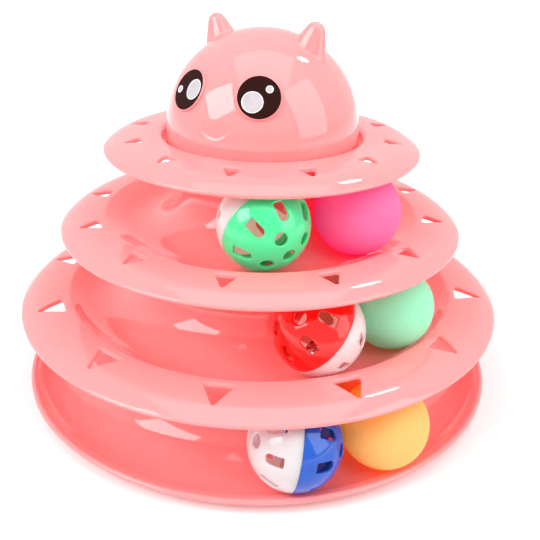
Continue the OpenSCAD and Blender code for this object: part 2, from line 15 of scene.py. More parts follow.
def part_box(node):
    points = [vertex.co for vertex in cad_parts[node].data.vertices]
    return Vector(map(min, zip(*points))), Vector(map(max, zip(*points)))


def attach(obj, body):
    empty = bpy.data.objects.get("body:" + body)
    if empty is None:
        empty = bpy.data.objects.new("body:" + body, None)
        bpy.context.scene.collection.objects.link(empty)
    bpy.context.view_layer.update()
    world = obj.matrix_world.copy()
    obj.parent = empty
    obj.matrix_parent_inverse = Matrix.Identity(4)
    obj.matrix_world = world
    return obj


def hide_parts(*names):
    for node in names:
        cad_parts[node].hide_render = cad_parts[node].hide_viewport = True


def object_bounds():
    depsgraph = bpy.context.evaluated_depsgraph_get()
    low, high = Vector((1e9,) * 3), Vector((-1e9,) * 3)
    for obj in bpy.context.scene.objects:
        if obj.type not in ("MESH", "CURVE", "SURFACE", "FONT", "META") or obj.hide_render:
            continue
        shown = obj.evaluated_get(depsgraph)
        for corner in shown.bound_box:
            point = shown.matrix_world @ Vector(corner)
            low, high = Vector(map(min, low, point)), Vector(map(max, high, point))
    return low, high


bl_info = {
    "name": "Cat ball track toy",
    "version": (1, 0, 0),
    "blender": (4, 5, 0),
    "location": "View3D > Sidebar > Track toy",
    "description": "Builds the visible pieces of a three tier ball track toy and its stage",
    "category": "Object",
}

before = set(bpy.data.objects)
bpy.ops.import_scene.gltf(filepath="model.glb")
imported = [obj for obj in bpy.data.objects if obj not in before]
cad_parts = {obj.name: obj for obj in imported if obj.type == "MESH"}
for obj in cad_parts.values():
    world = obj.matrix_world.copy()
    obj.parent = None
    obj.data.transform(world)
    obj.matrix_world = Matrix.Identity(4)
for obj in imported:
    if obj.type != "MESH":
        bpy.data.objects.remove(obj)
CAD_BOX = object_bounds()

MM = 0.001
FULL_TURN = 2 * math.pi
RIGHT_ANGLE = math.pi / 2
FACE_ANGLE = -RIGHT_ANGLE


# Properties

def length(name, millimetres, about):
    return bpy.props.FloatProperty(
        name=name, description=about, default=millimetres * MM, precision=5, unit="LENGTH")


def angle(name, degrees, about):
    return bpy.props.FloatProperty(
        name=name, description=about, default=math.radians(degrees), subtype="ANGLE")


def angles(name, degrees, about):
    return bpy.props.FloatVectorProperty(
        name=name, description=about, default=[math.radians(d) for d in degrees], subtype="EULER")


def lengths(name, millimetres, about):
    return bpy.props.FloatVectorProperty(
        name=name, description=about, default=[v * MM for v in millimetres],
        size=len(millimetres), precision=5, unit="LENGTH")


def colour(name, rgb, about):
    return bpy.props.FloatVectorProperty(
        name=name, description=about, default=rgb, min=0, max=1, subtype="COLOR")


def power(name, watts, about):
    return bpy.props.FloatProperty(name=name, description=about, default=watts, unit="POWER")


def share(name, value, about):
    return bpy.props.FloatProperty(
        name=name, description=about, default=value, min=0, max=1, subtype="FACTOR")


class BallSizes(bpy.types.PropertyGroup):
    """Sizes and places of the six balls"""

    cage_d: length("Cage ball", 41, "Diameter of the cage balls")
    foam_d: length("Foam ball", 40, "Diameter of the foam balls")
    cage_wall: length("Cage wall", 1.3, "Wall of the two halves of a cage ball")
    slot_w: length("Slot width", 4.7, "Width of the arched slots in a cage ball")
    slot_l: length("Slot length", 8.4, "Length of the arched slots in a cage ball")
    slot_corner: length("Slot corner", 0.45, "Corner radius at the flat end of a slot")
    hole_d: length("Round hole", 5.8, "Diameter of the round holes in a cage ball")
    slot_tilt: angle("Slot tilt", 58.5, "Angle between a half's pole and its slots")
    ring_tilt: angle("Hole tilt", 28.5, "Angle between a half's pole and its ring of holes")
    edge_round: length("Edge rounding", 0.45, "Radius of the outer edges of slots and holes")
    seam_round: length("Seam rounding", 0.25, "Radius of the edge where the two halves meet")
    lip_t: length("Snap lip", 0.45, "Thickness of the snap lip inside the coloured half")
    lip_h: length("Snap lip height", 1.5, "Height of the snap lip on each side of the seam")
    lip_fit: length("Snap lip fit", 0.15, "Gap to the white half, and overlap with its own half")
    blue_angle: angle("Blue ball", -51.8, "Angle of the blue ball round the tower")
    yellow_angle: angle("Yellow ball", -28.8, "Angle of the yellow ball round the tower")
    red_angle: angle("Red ball", -41.8, "Angle of the red ball round the tower")
    mint_angle: angle("Mint ball", -11.6, "Angle of the mint ball round the tower")
    green_angle: angle("Green ball", -59.5, "Angle of the green ball round the tower")
    pink_angle: angle("Pink ball", -13.4, "Angle of the pink ball round the tower")
    green_aim: angles("Green aim", (-25.4, -21.6, 30.4), "Azimuth, elevation and spin of its half")
    red_aim: angles("Red aim", (-134.6, 41, 9.4), "Azimuth, elevation and spin of the red half")
    blue_aim: angles("Blue aim", (32, -7.9, 57.5), "Azimuth, elevation and spin of the blue half")
    white_spins: angles("White spins", (30, 33, 34.3), "Spins of the three white halves")


class TowerSizes(bpy.types.PropertyGroup):
    """Sizes of the tray, the tiers and the top flange"""

    wall: length("Wall", 2.2, "Wall of the mouldings")
    track_play: length("Track play", 0.8, "Play between a ball and the round section of its track")
    rest_gap: length("Rest gap", 0.3, "Clearance between a resting ball and its track")
    tray_track_r: length("Tray track", 106, "Radius of the track's circle on the tray")
    lower_track_r: length("Lower track", 80.6, "Radius of the track's circle on the lower tier")
    middle_track_r: length("Middle track", 59.3, "Radius of the track's circle on the middle tier")
    tray_rim_r: length("Tray rim", 122.4, "Outer radius of the tray's rim")
    tray_rim_w: length("Tray lip", 3.2, "Width of the tray's rounded rim")
    skirt_foot_r: length("Skirt foot", 117.8, "Radius of the tray's skirt at its foot")
    lower_rim_r: length("Lower rim", 122.5, "Outer radius of the lower flange")
    middle_rim_r: length("Middle rim", 99.7, "Outer radius of the middle flange")
    top_rim_r: length("Top rim", 76.7, "Outer radius of the top flange")
    crest_h: length("Crest", 6.1, "Height of a tier's crest above its rim")
    top_crest_h: length("Top crest", 6.5, "Height of the top flange's crest above its rim")
    shoulder_slope: angle("Shoulder slope", 6.5, "Slope of a flange where its shoulder begins")
    edge_slope: angle("Edge slope", 38, "Slope of a flange at its edge")
    crest_round: length("Crest rounding", 3.2, "Radius that rounds the crest into the track")
    lower_ramp: length("Lower ramp", 0.3, "Extra width of the lower tier's slope")
    middle_ramp: length("Middle ramp", 2.4, "Extra width of the middle tier's slope")
    roll_r: length("Recess rolling", 2.5, "Radius that rolls the top flange into the head's recess")
    lower_lift: length("Lower lift", 0.6, "Height of the lower rim above the balls in the tray")
    middle_lift: length("Middle lift", 1.5, "Height of the middle rim above the balls below it")
    top_lift: length("Top lift", -1.9, "Height of the top rim above the balls below it")
    lower_drop: length("Lower drop", 2.7, "Depth of the lower track below its rim")
    middle_drop: length("Middle drop", 0.8, "Depth of the middle track below its rim")
    recess_depth: length("Recess", 3.9, "Depth of the recess that the head stands in")
    recess_gap: length("Recess gap", 1.2, "Gap between the head and its recess")
    disc_hole_r: length("Disc hole", 20, "Radius of the opening in the disc under the head")
    collar_t: length("Collar", 4.5, "Thickness of the collar at the top of a hub")
    collar_h: length("Collar height", 11, "Height of the collar at the top of a hub")
    spigot_h: length("Spigot", 8, "Depth of the spigot under each tier")
    spigot_fit: length("Spigot fit", 0.1, "Gap all round a spigot in its collar")
    seat_t: length("Seat", 0.5, "Height of the flat seat under each tier")
    lug_h: length("Lug height", 2.6, "Height of a twist lock lug")
    lug_d: length("Lug depth", 1.6, "Depth that a lug stands out of its spigot")
    lug_foot: length("Lug foot", 1.4, "Height of a lug above its spigot's end")
    lug_span: angle("Lug span", 9, "Angle that a lug spans")
    lug_turn: angle("Lug turn", 14, "Angle between a lug and its entry")
    pad_d: length("Pad", 16, "Diameter of the anti-slip pads")
    pad_h: length("Pad height", 1.5, "Thickness of the anti-slip pads")
    lower_hole_l: length("Lower hole length", 12.6, "Length of the holes in the lower flange")
    lower_hole_w: length("Lower hole width", 14, "Width of the holes in the lower flange")
    middle_hole_l: length("Middle hole length", 9.7, "Length of the holes in the middle flange")
    middle_hole_w: length("Middle hole width", 10.8, "Width of the holes in the middle flange")
    top_hole_l: length("Top hole length", 8.3, "Length of the holes in the top flange")
    top_hole_w: length("Top hole width", 8.6, "Width of the holes in the top flange")
    tier_hole_inset: length("Tier hole inset", 2.4, "Distance from the crest to a tier's holes")
    top_hole_inset: length("Top hole inset", 8.1, "Distance from the crest to the top holes")
    hole_round: length("Hole corner", 1.1, "Corner radius of the holes")
    hole_edge: length("Hole edge", 0.8, "Radius that rounds the upper edge of a hole")
    lower_hole_angle: angle("Lower hole angle", 20.5, "Angle of the lower flange's first hole")
    middle_hole_angle: angle("Middle hole angle", 19.8, "Angle of the middle flange's first hole")
    top_hole_angle: angle("Top hole angle", 17.8, "Angle of the top flange's first hole")


class HeadSizes(bpy.types.PropertyGroup):
    """Sizes of the head and its face"""

    dome_r: length("Dome", 46.6, "Radius of the domed head")
    dome_skirt: length("Skirt", 5.8, "Height of the dome's centre above its foot")
    skirt_draft: length("Draft", 0.6, "Draft that widens the skirt at its foot")
    dome_wall: length("Dome wall", 2.2, "Wall of the head")
    foot_round: length("Foot rounding", 0.6, "Radius of the outer edge of the head's foot")
    ear_tip_r: length("Ear tip", 4.74, "Radius of an ear's rounded tip")
    ear_base_r: length("Ear base", 8.74, "Radius of an ear near the dome")
    ear_flatness: bpy.props.FloatProperty(
        name="Ear flatness", description="Width of an ear over its depth", default=1.3)
    ear_tip_x: length("Ear tip place", 25.8, "Distance of an ear's tip from the middle")
    ear_base_x: length("Ear base place", 22.5, "Distance of an ear's base from the middle")
    ear_tip_z: length("Ear tip height", 46.36, "Height of an ear's tip above the dome's centre")
    ear_base_z: length("Ear base height", 36.8, "Height of an ear's base above the dome's centre")
    ear_sink: length("Ear sink", 7, "Depth that an ear reaches past its base's centre")
    ear_blend: length("Ear blend", 1.4, "Size of the fillet where an ear meets the dome")
    eye_d: length("Eye", 18.7, "Diameter of an eye sticker")
    eye_t: length("Eye thickness", 0.3, "Thickness of an eye sticker")
    eye_rim: length("Eye rim", 0.5, "Width of the flat boss that shows round an eye sticker")
    eye_lift: length("Eye lift", 0.15, "Height of an eye's boss above the top of the dome there")
    eye_edge: length("Eye edge", 0.4, "Radius that rounds the edge of an eye's boss")
    big_dot_d: length("Big dot", 9.4, "Diameter of the large dot in an eye")
    small_dot_d: length("Small dot", 3.35, "Diameter of the small dot in an eye")
    dot_line: length("Dot outline", 0.35, "Width of the white line round a dot")
    sticker_edge: length("Sticker edge", 0.16, "Radius that rounds the edge of a sticker")
    print_t: length("Print", 0.06, "Thickness of a printed dot")
    layer_gap: length("Layer gap", 0.02, "Gap between the boss, the sticker and the dots")
    right_dots: lengths("Right dots", (5.65, 3.55), "Distances of its small and big dot")
    left_dots: lengths("Left dots", (6.2, 4.0), "Distances of its small and big dot")
    smile_r: length("Smile", 7.9, "Radius of the smile's outline")
    smile_corner: length("Smile corner", 1.4, "Radius of the smile's corners")
    smile_depth: length("Smile depth", 0.55, "Depth of the smile")
    right_eye: angles("Right eye", (26.9, 29.9, 39), "Side, height and dots' turn of the right eye")
    left_eye: angles("Left eye", (-24.2, 28.9, 190), "Side, height and dots' turn of the left eye")
    smile_wall: length("Smile wall", 1.5, "Width of the soft wall round the smile")
    smile_place: angles("Smile place", (2.0, 15.9, -5), "Side, height and turn of the smile")
    hook_t: length("Hook", 2, "Thickness of a snap hook")
    hook_w: length("Hook width", 10, "Width of a snap hook")
    hook_lip: length("Hook lip", 1.4, "Depth of a hook's barb")
    hook_lip_h: length("Hook lip height", 1.6, "Height of a hook's barb")
    hook_play: length("Hook play", 0.3, "Play between a hook and the disc that it holds")
    hook_rise: length("Hook rise", 3, "Height of a hook's root above the head's foot")


class ToyColours(bpy.types.PropertyGroup):
    """Colours of the plastics, the foams and the metal"""

    pink: colour("Pink plastic", (1.0, 0.32, 0.32), "Glossy pink of the mouldings")
    black: colour("Eye black", (0.022, 0.004, 0.003), "Black of the eye stickers")
    dot: colour("Eye dot", (0.56, 0.52, 0.55), "Pale dots in the eyes")
    line: colour("Dot line", (0.9, 0.9, 0.9), "White line round a dot")
    green: colour("Cage green", (0.07, 0.76, 0.32), "Green cage half")
    red: colour("Cage red", (0.86, 0.006, 0.004), "Red cage half")
    blue: colour("Cage blue", (0.004, 0.1, 0.56), "Blue cage half")
    white: colour("Cage white", (0.77, 0.74, 0.78), "White cage halves")
    # through is the colour of a painted glow on the inside of the white halves, which stands in for
    # light that comes through their wall
    through: colour("Light through", (1.0, 0.4, 0.3), "Light through a white half's wall")
    steel: colour("Bell steel", (0.62, 0.6, 0.57), "Plated bells and pellets")
    pad: colour("Pad foam", (0.72, 0.7, 0.68), "Anti-slip pads")
    foam_pink: colour("Pink foam", (1.0, 0.18, 0.34), "Pink foam ball")
    foam_mint: colour("Mint foam", (0.36, 0.83, 0.54), "Mint foam ball")
    foam_yellow: colour("Yellow foam", (1.0, 0.46, 0.17), "Yellow foam ball")


class StageSettings(bpy.types.PropertyGroup):
    """Camera, lamps and floor"""

    world: share("World light", 0.38, "Strength of the even light from all round")
    right_lamp: power("Right lamp", 10, "Power of the soft lamp to the right")
    left_lamp: power("Left lamp", 11, "Power of the soft lamp to the left")
    top_lamp: power("Top lamp", 9, "Power of the soft lamp overhead")
    back_lamp: power("Back lamp", 0.25, "Power of the small lamp behind the tower")
    floor: colour("Floor", (0.9, 0.88, 0.88), "Colour of the floor")


# Half sections

RIM_LIFT_SHARE = 0.24
LIP_START = math.radians(70)
LIP_BLEND = math.radians(6.5)
ARC_STEPS = 14
CAGE_BALLS = {"green": "middle", "red": "lower", "blue": "tray"}
FOAM_BALLS = {"pink": "middle", "mint": "lower", "yellow": "tray"}


def over(centre, r, turn):
    """Point on a circle, by the angle from straight up, positive outwards."""
    return np.array((centre[0] + r * math.sin(turn), centre[1] + r * math.cos(turn)))


def under(centre, r, turn):
    """Point on a circle, by the angle from straight down, positive outwards."""
    return np.array((centre[0] + r * math.sin(turn), centre[1] - r * math.cos(turn)))


def arc(place, centre, r, start, end, steps=ARC_STEPS):
    return [place(centre, r, turn) for turn in np.linspace(start, end, steps + 1)]


class Flange:
    """A gentle dish that falls from the crest, a rounded shoulder and a round edge."""

    def __init__(self, crest, rim_r, height, sizes):
        half = sizes.wall / 2
        start, end = sizes.shoulder_slope, sizes.edge_slope
        lean = math.tan(start / 2)
        across = rim_r - crest[0] - half
        down = height - (1 + RIM_LIFT_SHARE) * half
        rise = math.cos(start) - math.cos(end)
        run = math.sin(end) - math.sin(start)
        self.crest = np.array(crest)
        self.wall = sizes.wall
        self.start, self.end = start, end
        self.shoulder = (down - across * lean) / (rise - run * lean)
        self.dish = (across - self.shoulder * run) / math.sin(start)
        self.dish_centre = self.crest - (0, self.dish + half)
        self.shoulder_centre = over(self.dish_centre, self.dish - self.shoulder, start)
        self.edge_centre = over(self.shoulder_centre, self.shoulder, end)

    def heights(self, r, depth):
        """Height of the surface at depth below the upper one, at the radii r."""
        dish = self.dish + self.wall / 2 - depth
        shoulder = self.shoulder + self.wall / 2 - depth
        turn = self.dish_centre[0] + dish * math.sin(self.start)
        inner = self.dish_centre[1] + np.sqrt(
            np.maximum(dish ** 2 - (r - self.dish_centre[0]) ** 2, 0))
        outer = self.shoulder_centre[1] + np.sqrt(
            np.maximum(shoulder ** 2 - (r - self.shoulder_centre[0]) ** 2, 0))
        return np.where(r < turn, inner, outer)

    def path(self, start_r, end_r, depth, steps=ARC_STEPS):
        radii = np.linspace(start_r, end_r, steps + 1)
        return list(np.column_stack((radii, self.heights(radii, depth))))

    def round_the_edge(self, start_r):
        """From start_r on the upper surface round the edge to start_r on the lower one."""
        half = self.wall / 2
        top = over(self.edge_centre, half, self.end)
        foot = over(self.edge_centre, half, self.end + math.pi)
        return (
            self.path(start_r, top[0], 0)[:-1]
            + arc(over, self.edge_centre, half, self.end, self.end + math.pi)
            + self.path(foot[0], start_r, self.wall)[1:])


class Plan:
    """Heights and radii that follow from the sizes."""

    def __init__(self, scene):
        t, b, h = scene.tower_sizes, scene.ball_sizes, scene.head_sizes
        self.sizes, self.balls, self.head = t, b, h
        self.ball_r, self.foam_r = b.cage_d / 2, b.foam_d / 2
        self.channel_r = self.ball_r + t.track_play
        self.tray_floor = t.pad_h + t.wall
        self.lower_rim = self.tray_floor + b.cage_d + t.lower_lift
        self.lower_floor = self.lower_rim - t.lower_drop
        self.middle_rim = self.lower_floor + b.cage_d + t.middle_lift
        self.middle_floor = self.middle_rim - t.middle_drop
        self.top_rim = self.middle_floor + b.cage_d + t.top_lift
        self.lower_crest_r = (
            t.lower_track_r + self.crest_reach(t.lower_drop + t.crest_h) + t.lower_ramp)
        self.middle_crest_r = (
            t.middle_track_r + self.crest_reach(t.middle_drop + t.crest_h) + t.middle_ramp)
        self.recess_r = h.dome_r + h.skirt_draft + t.recess_gap
        self.disc_z = self.top_rim + t.top_crest_h - t.recess_depth
        self.dome = Vector((0, 0, self.disc_z + h.dome_skirt))
        self.tray_hub = t.tray_track_r - self.channel_r
        self.lower_hub = t.lower_track_r - self.channel_r
        self.middle_hub = t.middle_track_r - self.channel_r
        self.lower_seat = self.lower_floor - t.wall - t.seat_t
        self.middle_seat = self.middle_floor - t.wall - t.seat_t
        self.top_seat = self.disc_z - t.wall - t.seat_t

    def crest_reach(self, climb):
        return math.sqrt(
            2 * (self.channel_r + self.sizes.crest_round) * climb - climb * climb)

    def resting(self, tier, turn, r):
        """Centre of a ball that rests in its tier's track."""
        track_r = getattr(self.sizes, tier + "_track_r")
        z = getattr(self, tier + "_floor") + r + self.sizes.rest_gap
        return Vector((track_r * math.cos(turn), track_r * math.sin(turn), z))

    def spigot(self, hub_r, seat, top):
        """Outline of a tier's seat and spigot, from the seat's outer wall inwards."""
        t = self.sizes
        r = hub_r - t.collar_t - t.spigot_fit
        foot = seat - t.spigot_h
        return [
            (hub_r, top(hub_r)), (hub_r, seat), (r, seat), (r, foot),
            (r - t.wall, foot), (r - t.wall, top(r - t.wall))]


def tier_outline(plan, flange, track_r, floor, below_hub, seat, hub_top, inner_r):
    """From inner_r on the flange's underside, under the track, up the hub and back on top."""
    t = plan.sizes
    centre = (track_r, floor + plan.channel_r)
    crest, r = flange.crest, t.crest_round
    reach = np.array((crest[0] - track_r, crest[1] - floor - plan.channel_r - r))
    both = plan.channel_r + r
    slope = math.atan2(reach[1], reach[0]) + math.asin(both / np.linalg.norm(reach))
    roll = crest - (0, r)
    outside = plan.channel_r + t.wall

    def turn_at(radius):
        return math.asin((radius - track_r) / outside)

    def underside(radius):
        return under(centre, outside, turn_at(radius))[1]

    spigot = plan.spigot(below_hub, seat, underside)
    hub_r = track_r - plan.channel_r
    collar_r = hub_r - t.collar_t
    return (
        flange.path(inner_r, crest[0], t.wall, steps=3)
        + arc(over, roll, r - t.wall, 0, -slope, steps=5)[1:]
        + arc(under, centre, outside, slope, turn_at(spigot[0][0]), steps=8)[:-1]
        + spigot
        + arc(under, centre, outside, turn_at(spigot[-1][0]), -RIGHT_ANGLE, steps=20)[1:]
        + [(hub_r - t.wall, hub_top - t.collar_h), (collar_r, hub_top - t.collar_h),
           (collar_r, hub_top), (hub_r, hub_top)]
        + arc(under, centre, plan.channel_r, -RIGHT_ANGLE, slope, steps=40)
        + arc(over, roll, r, -slope, 0, steps=10)[1:]
        + flange.path(crest[0], inner_r, 0, steps=3)[1:])


def tray_outline(plan):
    """The tray's closed half section."""
    t = plan.sizes
    centre = (t.tray_track_r, plan.tray_floor + plan.channel_r)
    lip_turn = math.asin((t.tray_rim_r - t.tray_rim_w - t.tray_track_r) / plan.channel_r)
    lip_top = plan.tray_floor + plan.channel_r * (1 - math.cos(lip_turn))
    lip_r = t.tray_rim_w / 2
    lip = (t.tray_rim_r - lip_r, lip_top - lip_r)
    lean = (t.tray_rim_r - t.skirt_foot_r) / (lip[1] - t.pad_h)
    inside = t.skirt_foot_r - t.wall
    hub_r, collar_r = plan.tray_hub, plan.tray_hub - t.collar_t
    top = plan.lower_seat
    outside = plan.channel_r + t.wall
    return (
        arc(under, centre, plan.channel_r, -RIGHT_ANGLE, lip_turn - LIP_BLEND, steps=48)
        + arc(over, lip, lip_r, -LIP_START, RIGHT_ANGLE, steps=16)
        + [(t.skirt_foot_r, t.pad_h), (inside, t.pad_h),
           (inside + lean * (lip[1] - lip_r - t.pad_h), lip[1] - lip_r)]
        + arc(under, centre, outside, lip_turn - LIP_BLEND, -RIGHT_ANGLE, steps=30)
        + [(hub_r - t.wall, top - t.collar_h), (collar_r, top - t.collar_h),
           (collar_r, top), (hub_r, top)])


def top_outline(plan, flange, inner_r):
    """From inner_r on the top flange's underside, in under the recess and back on top."""
    t = plan.sizes
    crest, r, disc = flange.crest, t.roll_r, plan.disc_z
    roll = crest - (0, r)
    spigot = plan.spigot(plan.middle_hub, plan.top_seat, lambda radius: disc - t.wall)
    return (
        flange.path(inner_r, crest[0], t.wall, steps=6)
        + arc(over, roll, r - t.wall, 0, -RIGHT_ANGLE, steps=4)[1:]
        + arc(under, (plan.recess_r, disc), t.wall, RIGHT_ANGLE, 0, steps=6)
        + spigot
        + [(t.disc_hole_r, disc - t.wall), (t.disc_hole_r, disc), (plan.recess_r, disc)]
        + arc(over, roll, r, -RIGHT_ANGLE, 0, steps=12)
        + flange.path(crest[0], inner_r, 0, steps=6)[1:])


# Outlines of holes

CORNER_WEIGHT = 2.6
DISC_STEPS = 160
SMILE_STEPS = 24


class Outline:
    """A convex outline of arcs and straight lines, anticlockwise from the middle of its foot.

    It lies in a plane of two axes: across, and away from the pole or the tower's axis.
    """

    def __init__(self, arcs, steps=16):
        points, normals, weights = [], [], []
        for centre, r, start, end in arcs:
            for k, turn in enumerate(np.linspace(start, end, steps + 1)):
                normal = np.array((math.cos(turn), math.sin(turn)))
                points.append(np.array(centre) + r * normal)
                normals.append(normal)
                weights.append(CORNER_WEIGHT if k else 1)
        middle = (points[-1] + points[0]) / 2
        foot = (0, -1)
        self.points = np.array([middle] + points + [middle])
        self.normals = np.array([foot] + normals + [foot])
        steps = np.linalg.norm(np.diff(self.points, axis=0), axis=1) * np.array(weights + [1])
        self.along = np.concatenate(([0], np.cumsum(steps))) / steps.sum()

    def spread(self, count, grow=0.0):
        """count points round the outline, which is grown outwards."""
        shares = np.arange(count) / count
        grown = self.points + grow * self.normals
        return np.column_stack([np.interp(shares, self.along, grown[:, k]) for k in range(2)])


def triangle(start, long, wide, corner):
    """Triangle with rounded corners, its base at the foot."""
    corners = np.array([(wide / 2, start), (0, start + long + corner), (-wide / 2, start)])
    arcs = []
    for k, point in enumerate(corners):
        before = corners[k - 1] - point
        after = corners[(k + 1) % 3] - point
        before, after = before / np.linalg.norm(before), after / np.linalg.norm(after)
        half = math.acos(before @ after) / 2
        inwards = (before + after) / np.linalg.norm(before + after)
        middle = math.atan2(-inwards[1], -inwards[0])
        swing = RIGHT_ANGLE - half
        centre = point + inwards * corner / math.sin(half)
        arcs.append((centre, corner, middle - swing, middle + swing))
    return Outline(arcs)


def arch(long, wide, corner):
    """Slot with a round end at its foot and a flat end."""
    round_centre = (0, wide / 2 - long / 2)
    right = (wide / 2 - corner, long / 2 - corner)
    left = (-right[0], right[1])
    return Outline([
        (round_centre, wide / 2, -RIGHT_ANGLE, 0),
        (right, corner, 0, RIGHT_ANGLE),
        (left, corner, RIGHT_ANGLE, math.pi),
        (round_centre, wide / 2, math.pi, 3 * RIGHT_ANGLE)])


def disc(r):
    return Outline([((0, 0), r, -RIGHT_ANGLE, 3 * RIGHT_ANGLE)], steps=DISC_STEPS)


def smile_outline(r, corner):
    """Half round with its flat side up and its two corners rounded."""
    across = math.sqrt(r * r - 2 * r * corner)
    dip = math.asin(corner / (r - corner))
    return Outline([
        ((0, 0), r, -RIGHT_ANGLE, -dip),
        ((across, -corner), corner, -dip, RIGHT_ANGLE),
        ((-across, -corner), corner, RIGHT_ANGLE, math.pi + dip),
        ((0, 0), r, math.pi + dip, 3 * RIGHT_ANGLE)], steps=SMILE_STEPS)


def panel_edge(levels, turns):
    """Places round a panel, as (level, turn), anticlockwise from the middle of its foot."""
    middle = len(turns) // 2
    return np.array(
        [(levels[0], a) for a in turns[middle:-1]]
        + [(level, turns[-1]) for level in levels[:-1]]
        + [(levels[-1], a) for a in turns[:0:-1]]
        + [(level, turns[0]) for level in levels[:0:-1]]
        + [(levels[0], a) for a in turns[:middle]])


def sector_edge(low, high, half_turn, columns, rows):
    """The edge of an even panel to both sides of a turn of 0."""
    return panel_edge(
        np.linspace(low, high, rows + 1), np.linspace(-half_turn, half_turn, columns + 1))


# Meshes

MERGE = 0.001 * MM
SHARP_ANGLE = math.radians(38)


class Skin:
    """Points and faces of one piece."""

    def __init__(self):
        self.points = []
        self.faces = []
        self.tints = []
        self.count = 0

    def grid(self, rows, close_columns=False, close_rows=False, tint=0):
        """Quads between rows of points."""
        rows = np.asarray(rows, float)
        height, width = rows.shape[:2]
        index = self.count + np.arange(height * width).reshape(height, width)
        self.points.append(rows.reshape(-1, 3))
        self.count += height * width
        if close_columns:
            index = np.column_stack((index, index[:, 0]))
        if close_rows:
            index = np.vstack((index, index[:1]))
        quads = np.stack(
            (index[:-1, :-1], index[:-1, 1:], index[1:, 1:], index[1:, :-1]), axis=-1)
        self.faces += quads.reshape(-1, 4).tolist()
        self.tints += [tint] * (quads.size // 4)

    def fan(self, ring, middle, tint=0):
        """Triangles from a closed ring to its middle."""
        first, size = self.count, len(ring)
        self.points.append(np.vstack((ring, [middle])))
        self.count += size + 1
        self.faces += [(first + k, first + (k + 1) % size, first + size) for k in range(size)]
        self.tints += [tint] * size

    def lathe(self, outline, turns, closed=False, tint=0):
        """Turns a half section about the tower's axis."""
        outline = np.asarray(outline, float)
        across = np.stack((np.cos(turns), np.sin(turns)), axis=-1)
        rows = np.empty((len(outline), len(turns), 3))
        rows[:, :, :2] = outline[:, None, :1] * across[None]
        rows[:, :, 2] = outline[:, 1:]
        self.grid(rows, close_columns=True, close_rows=closed, tint=tint)

    def arc_block(self, r0, r1, z0, z1, start, span, steps=8):
        """A closed block between two radii and two heights that spans an angle."""
        section = [(r0, z0), (r1, z0), (r1, z1), (r0, z1)]
        rows = []
        for turn in np.linspace(start, start + span, steps + 1):
            rows.append([(r * math.cos(turn), r * math.sin(turn), z) for r, z in section])
        rows = np.array(rows)
        self.grid(rows, close_columns=True)
        for end in (rows[0], rows[-1]):
            self.fan(end, end.mean(axis=0))

    def prism(self, section, place, wide):
        """A flat section, closed and drawn out to both sides of its plane."""
        ends = [np.array([place(p, s * wide / 2) for p in section]) for s in (-1, 1)]
        self.grid(ends, close_columns=True)
        for end in ends:
            self.fan(end, end.mean(axis=0))

    def build(self, name, materials, centre=None, sharp=SHARP_ANGLE):
        """The piece as an object. Its mesh is merged, closed and turned outwards."""
        points = np.vstack(self.points)
        mesh = bpy.data.meshes.new(name)
        mesh.from_pydata(points.tolist(), [], self.faces)
        mesh.polygons.foreach_set("material_index", self.tints)
        work = bmesh.new()
        work.from_mesh(mesh)
        bmesh.ops.remove_doubles(work, verts=work.verts, dist=MERGE)
        bmesh.ops.dissolve_degenerate(work, edges=work.edges, dist=MERGE)
        bmesh.ops.recalc_face_normals(work, faces=work.faces)
        work.to_mesh(mesh)
        work.free()
        mesh.shade_smooth()
        mesh.set_sharp_from_angle(angle=sharp)
        for material in materials:
            mesh.materials.append(material)
        piece = bpy.data.objects.new(name, mesh)
        bpy.context.scene.collection.objects.link(piece)
        return piece


ROUND_STEPS = 4
PANEL_ROWS = 5


def pierce(skin, edges, outline, place, upper_round, lower_round, rows=PANEL_ROWS, inside=0):
    """Covers a sector round a hole: to the hole, down its wall and back below.

    edges are the sector's edge on the upper and the lower surface, in the outline's plane.
    place(points, level, depth) gives the points in space, depth inside that level's surface.
    inside is the finish of the lower surface.
    """
    count = len(edges[0])
    rings = []
    for level, size in enumerate((upper_round, lower_round)):
        rim = outline.spread(count, size)
        side = [place(edges[level] + (rim - edges[level]) * s, level, 0)
                for s in np.linspace(0, 1, rows, endpoint=False)]
        for q in np.linspace(0, RIGHT_ANGLE, ROUND_STEPS + 1):
            grown = outline.spread(count, size * (1 - math.sin(q)))
            side.append(place(grown, level, size * (1 - math.cos(q))))
        rings += side if level == 0 else side[::-1]
    half = len(rings) // 2
    skin.grid(rings[:half + 1], close_columns=True)
    skin.grid(rings[half:], close_columns=True, tint=inside)


# Materials

NOISE_LOW = 0.3
NOISE_HIGH = 0.7
TINY = 0.001


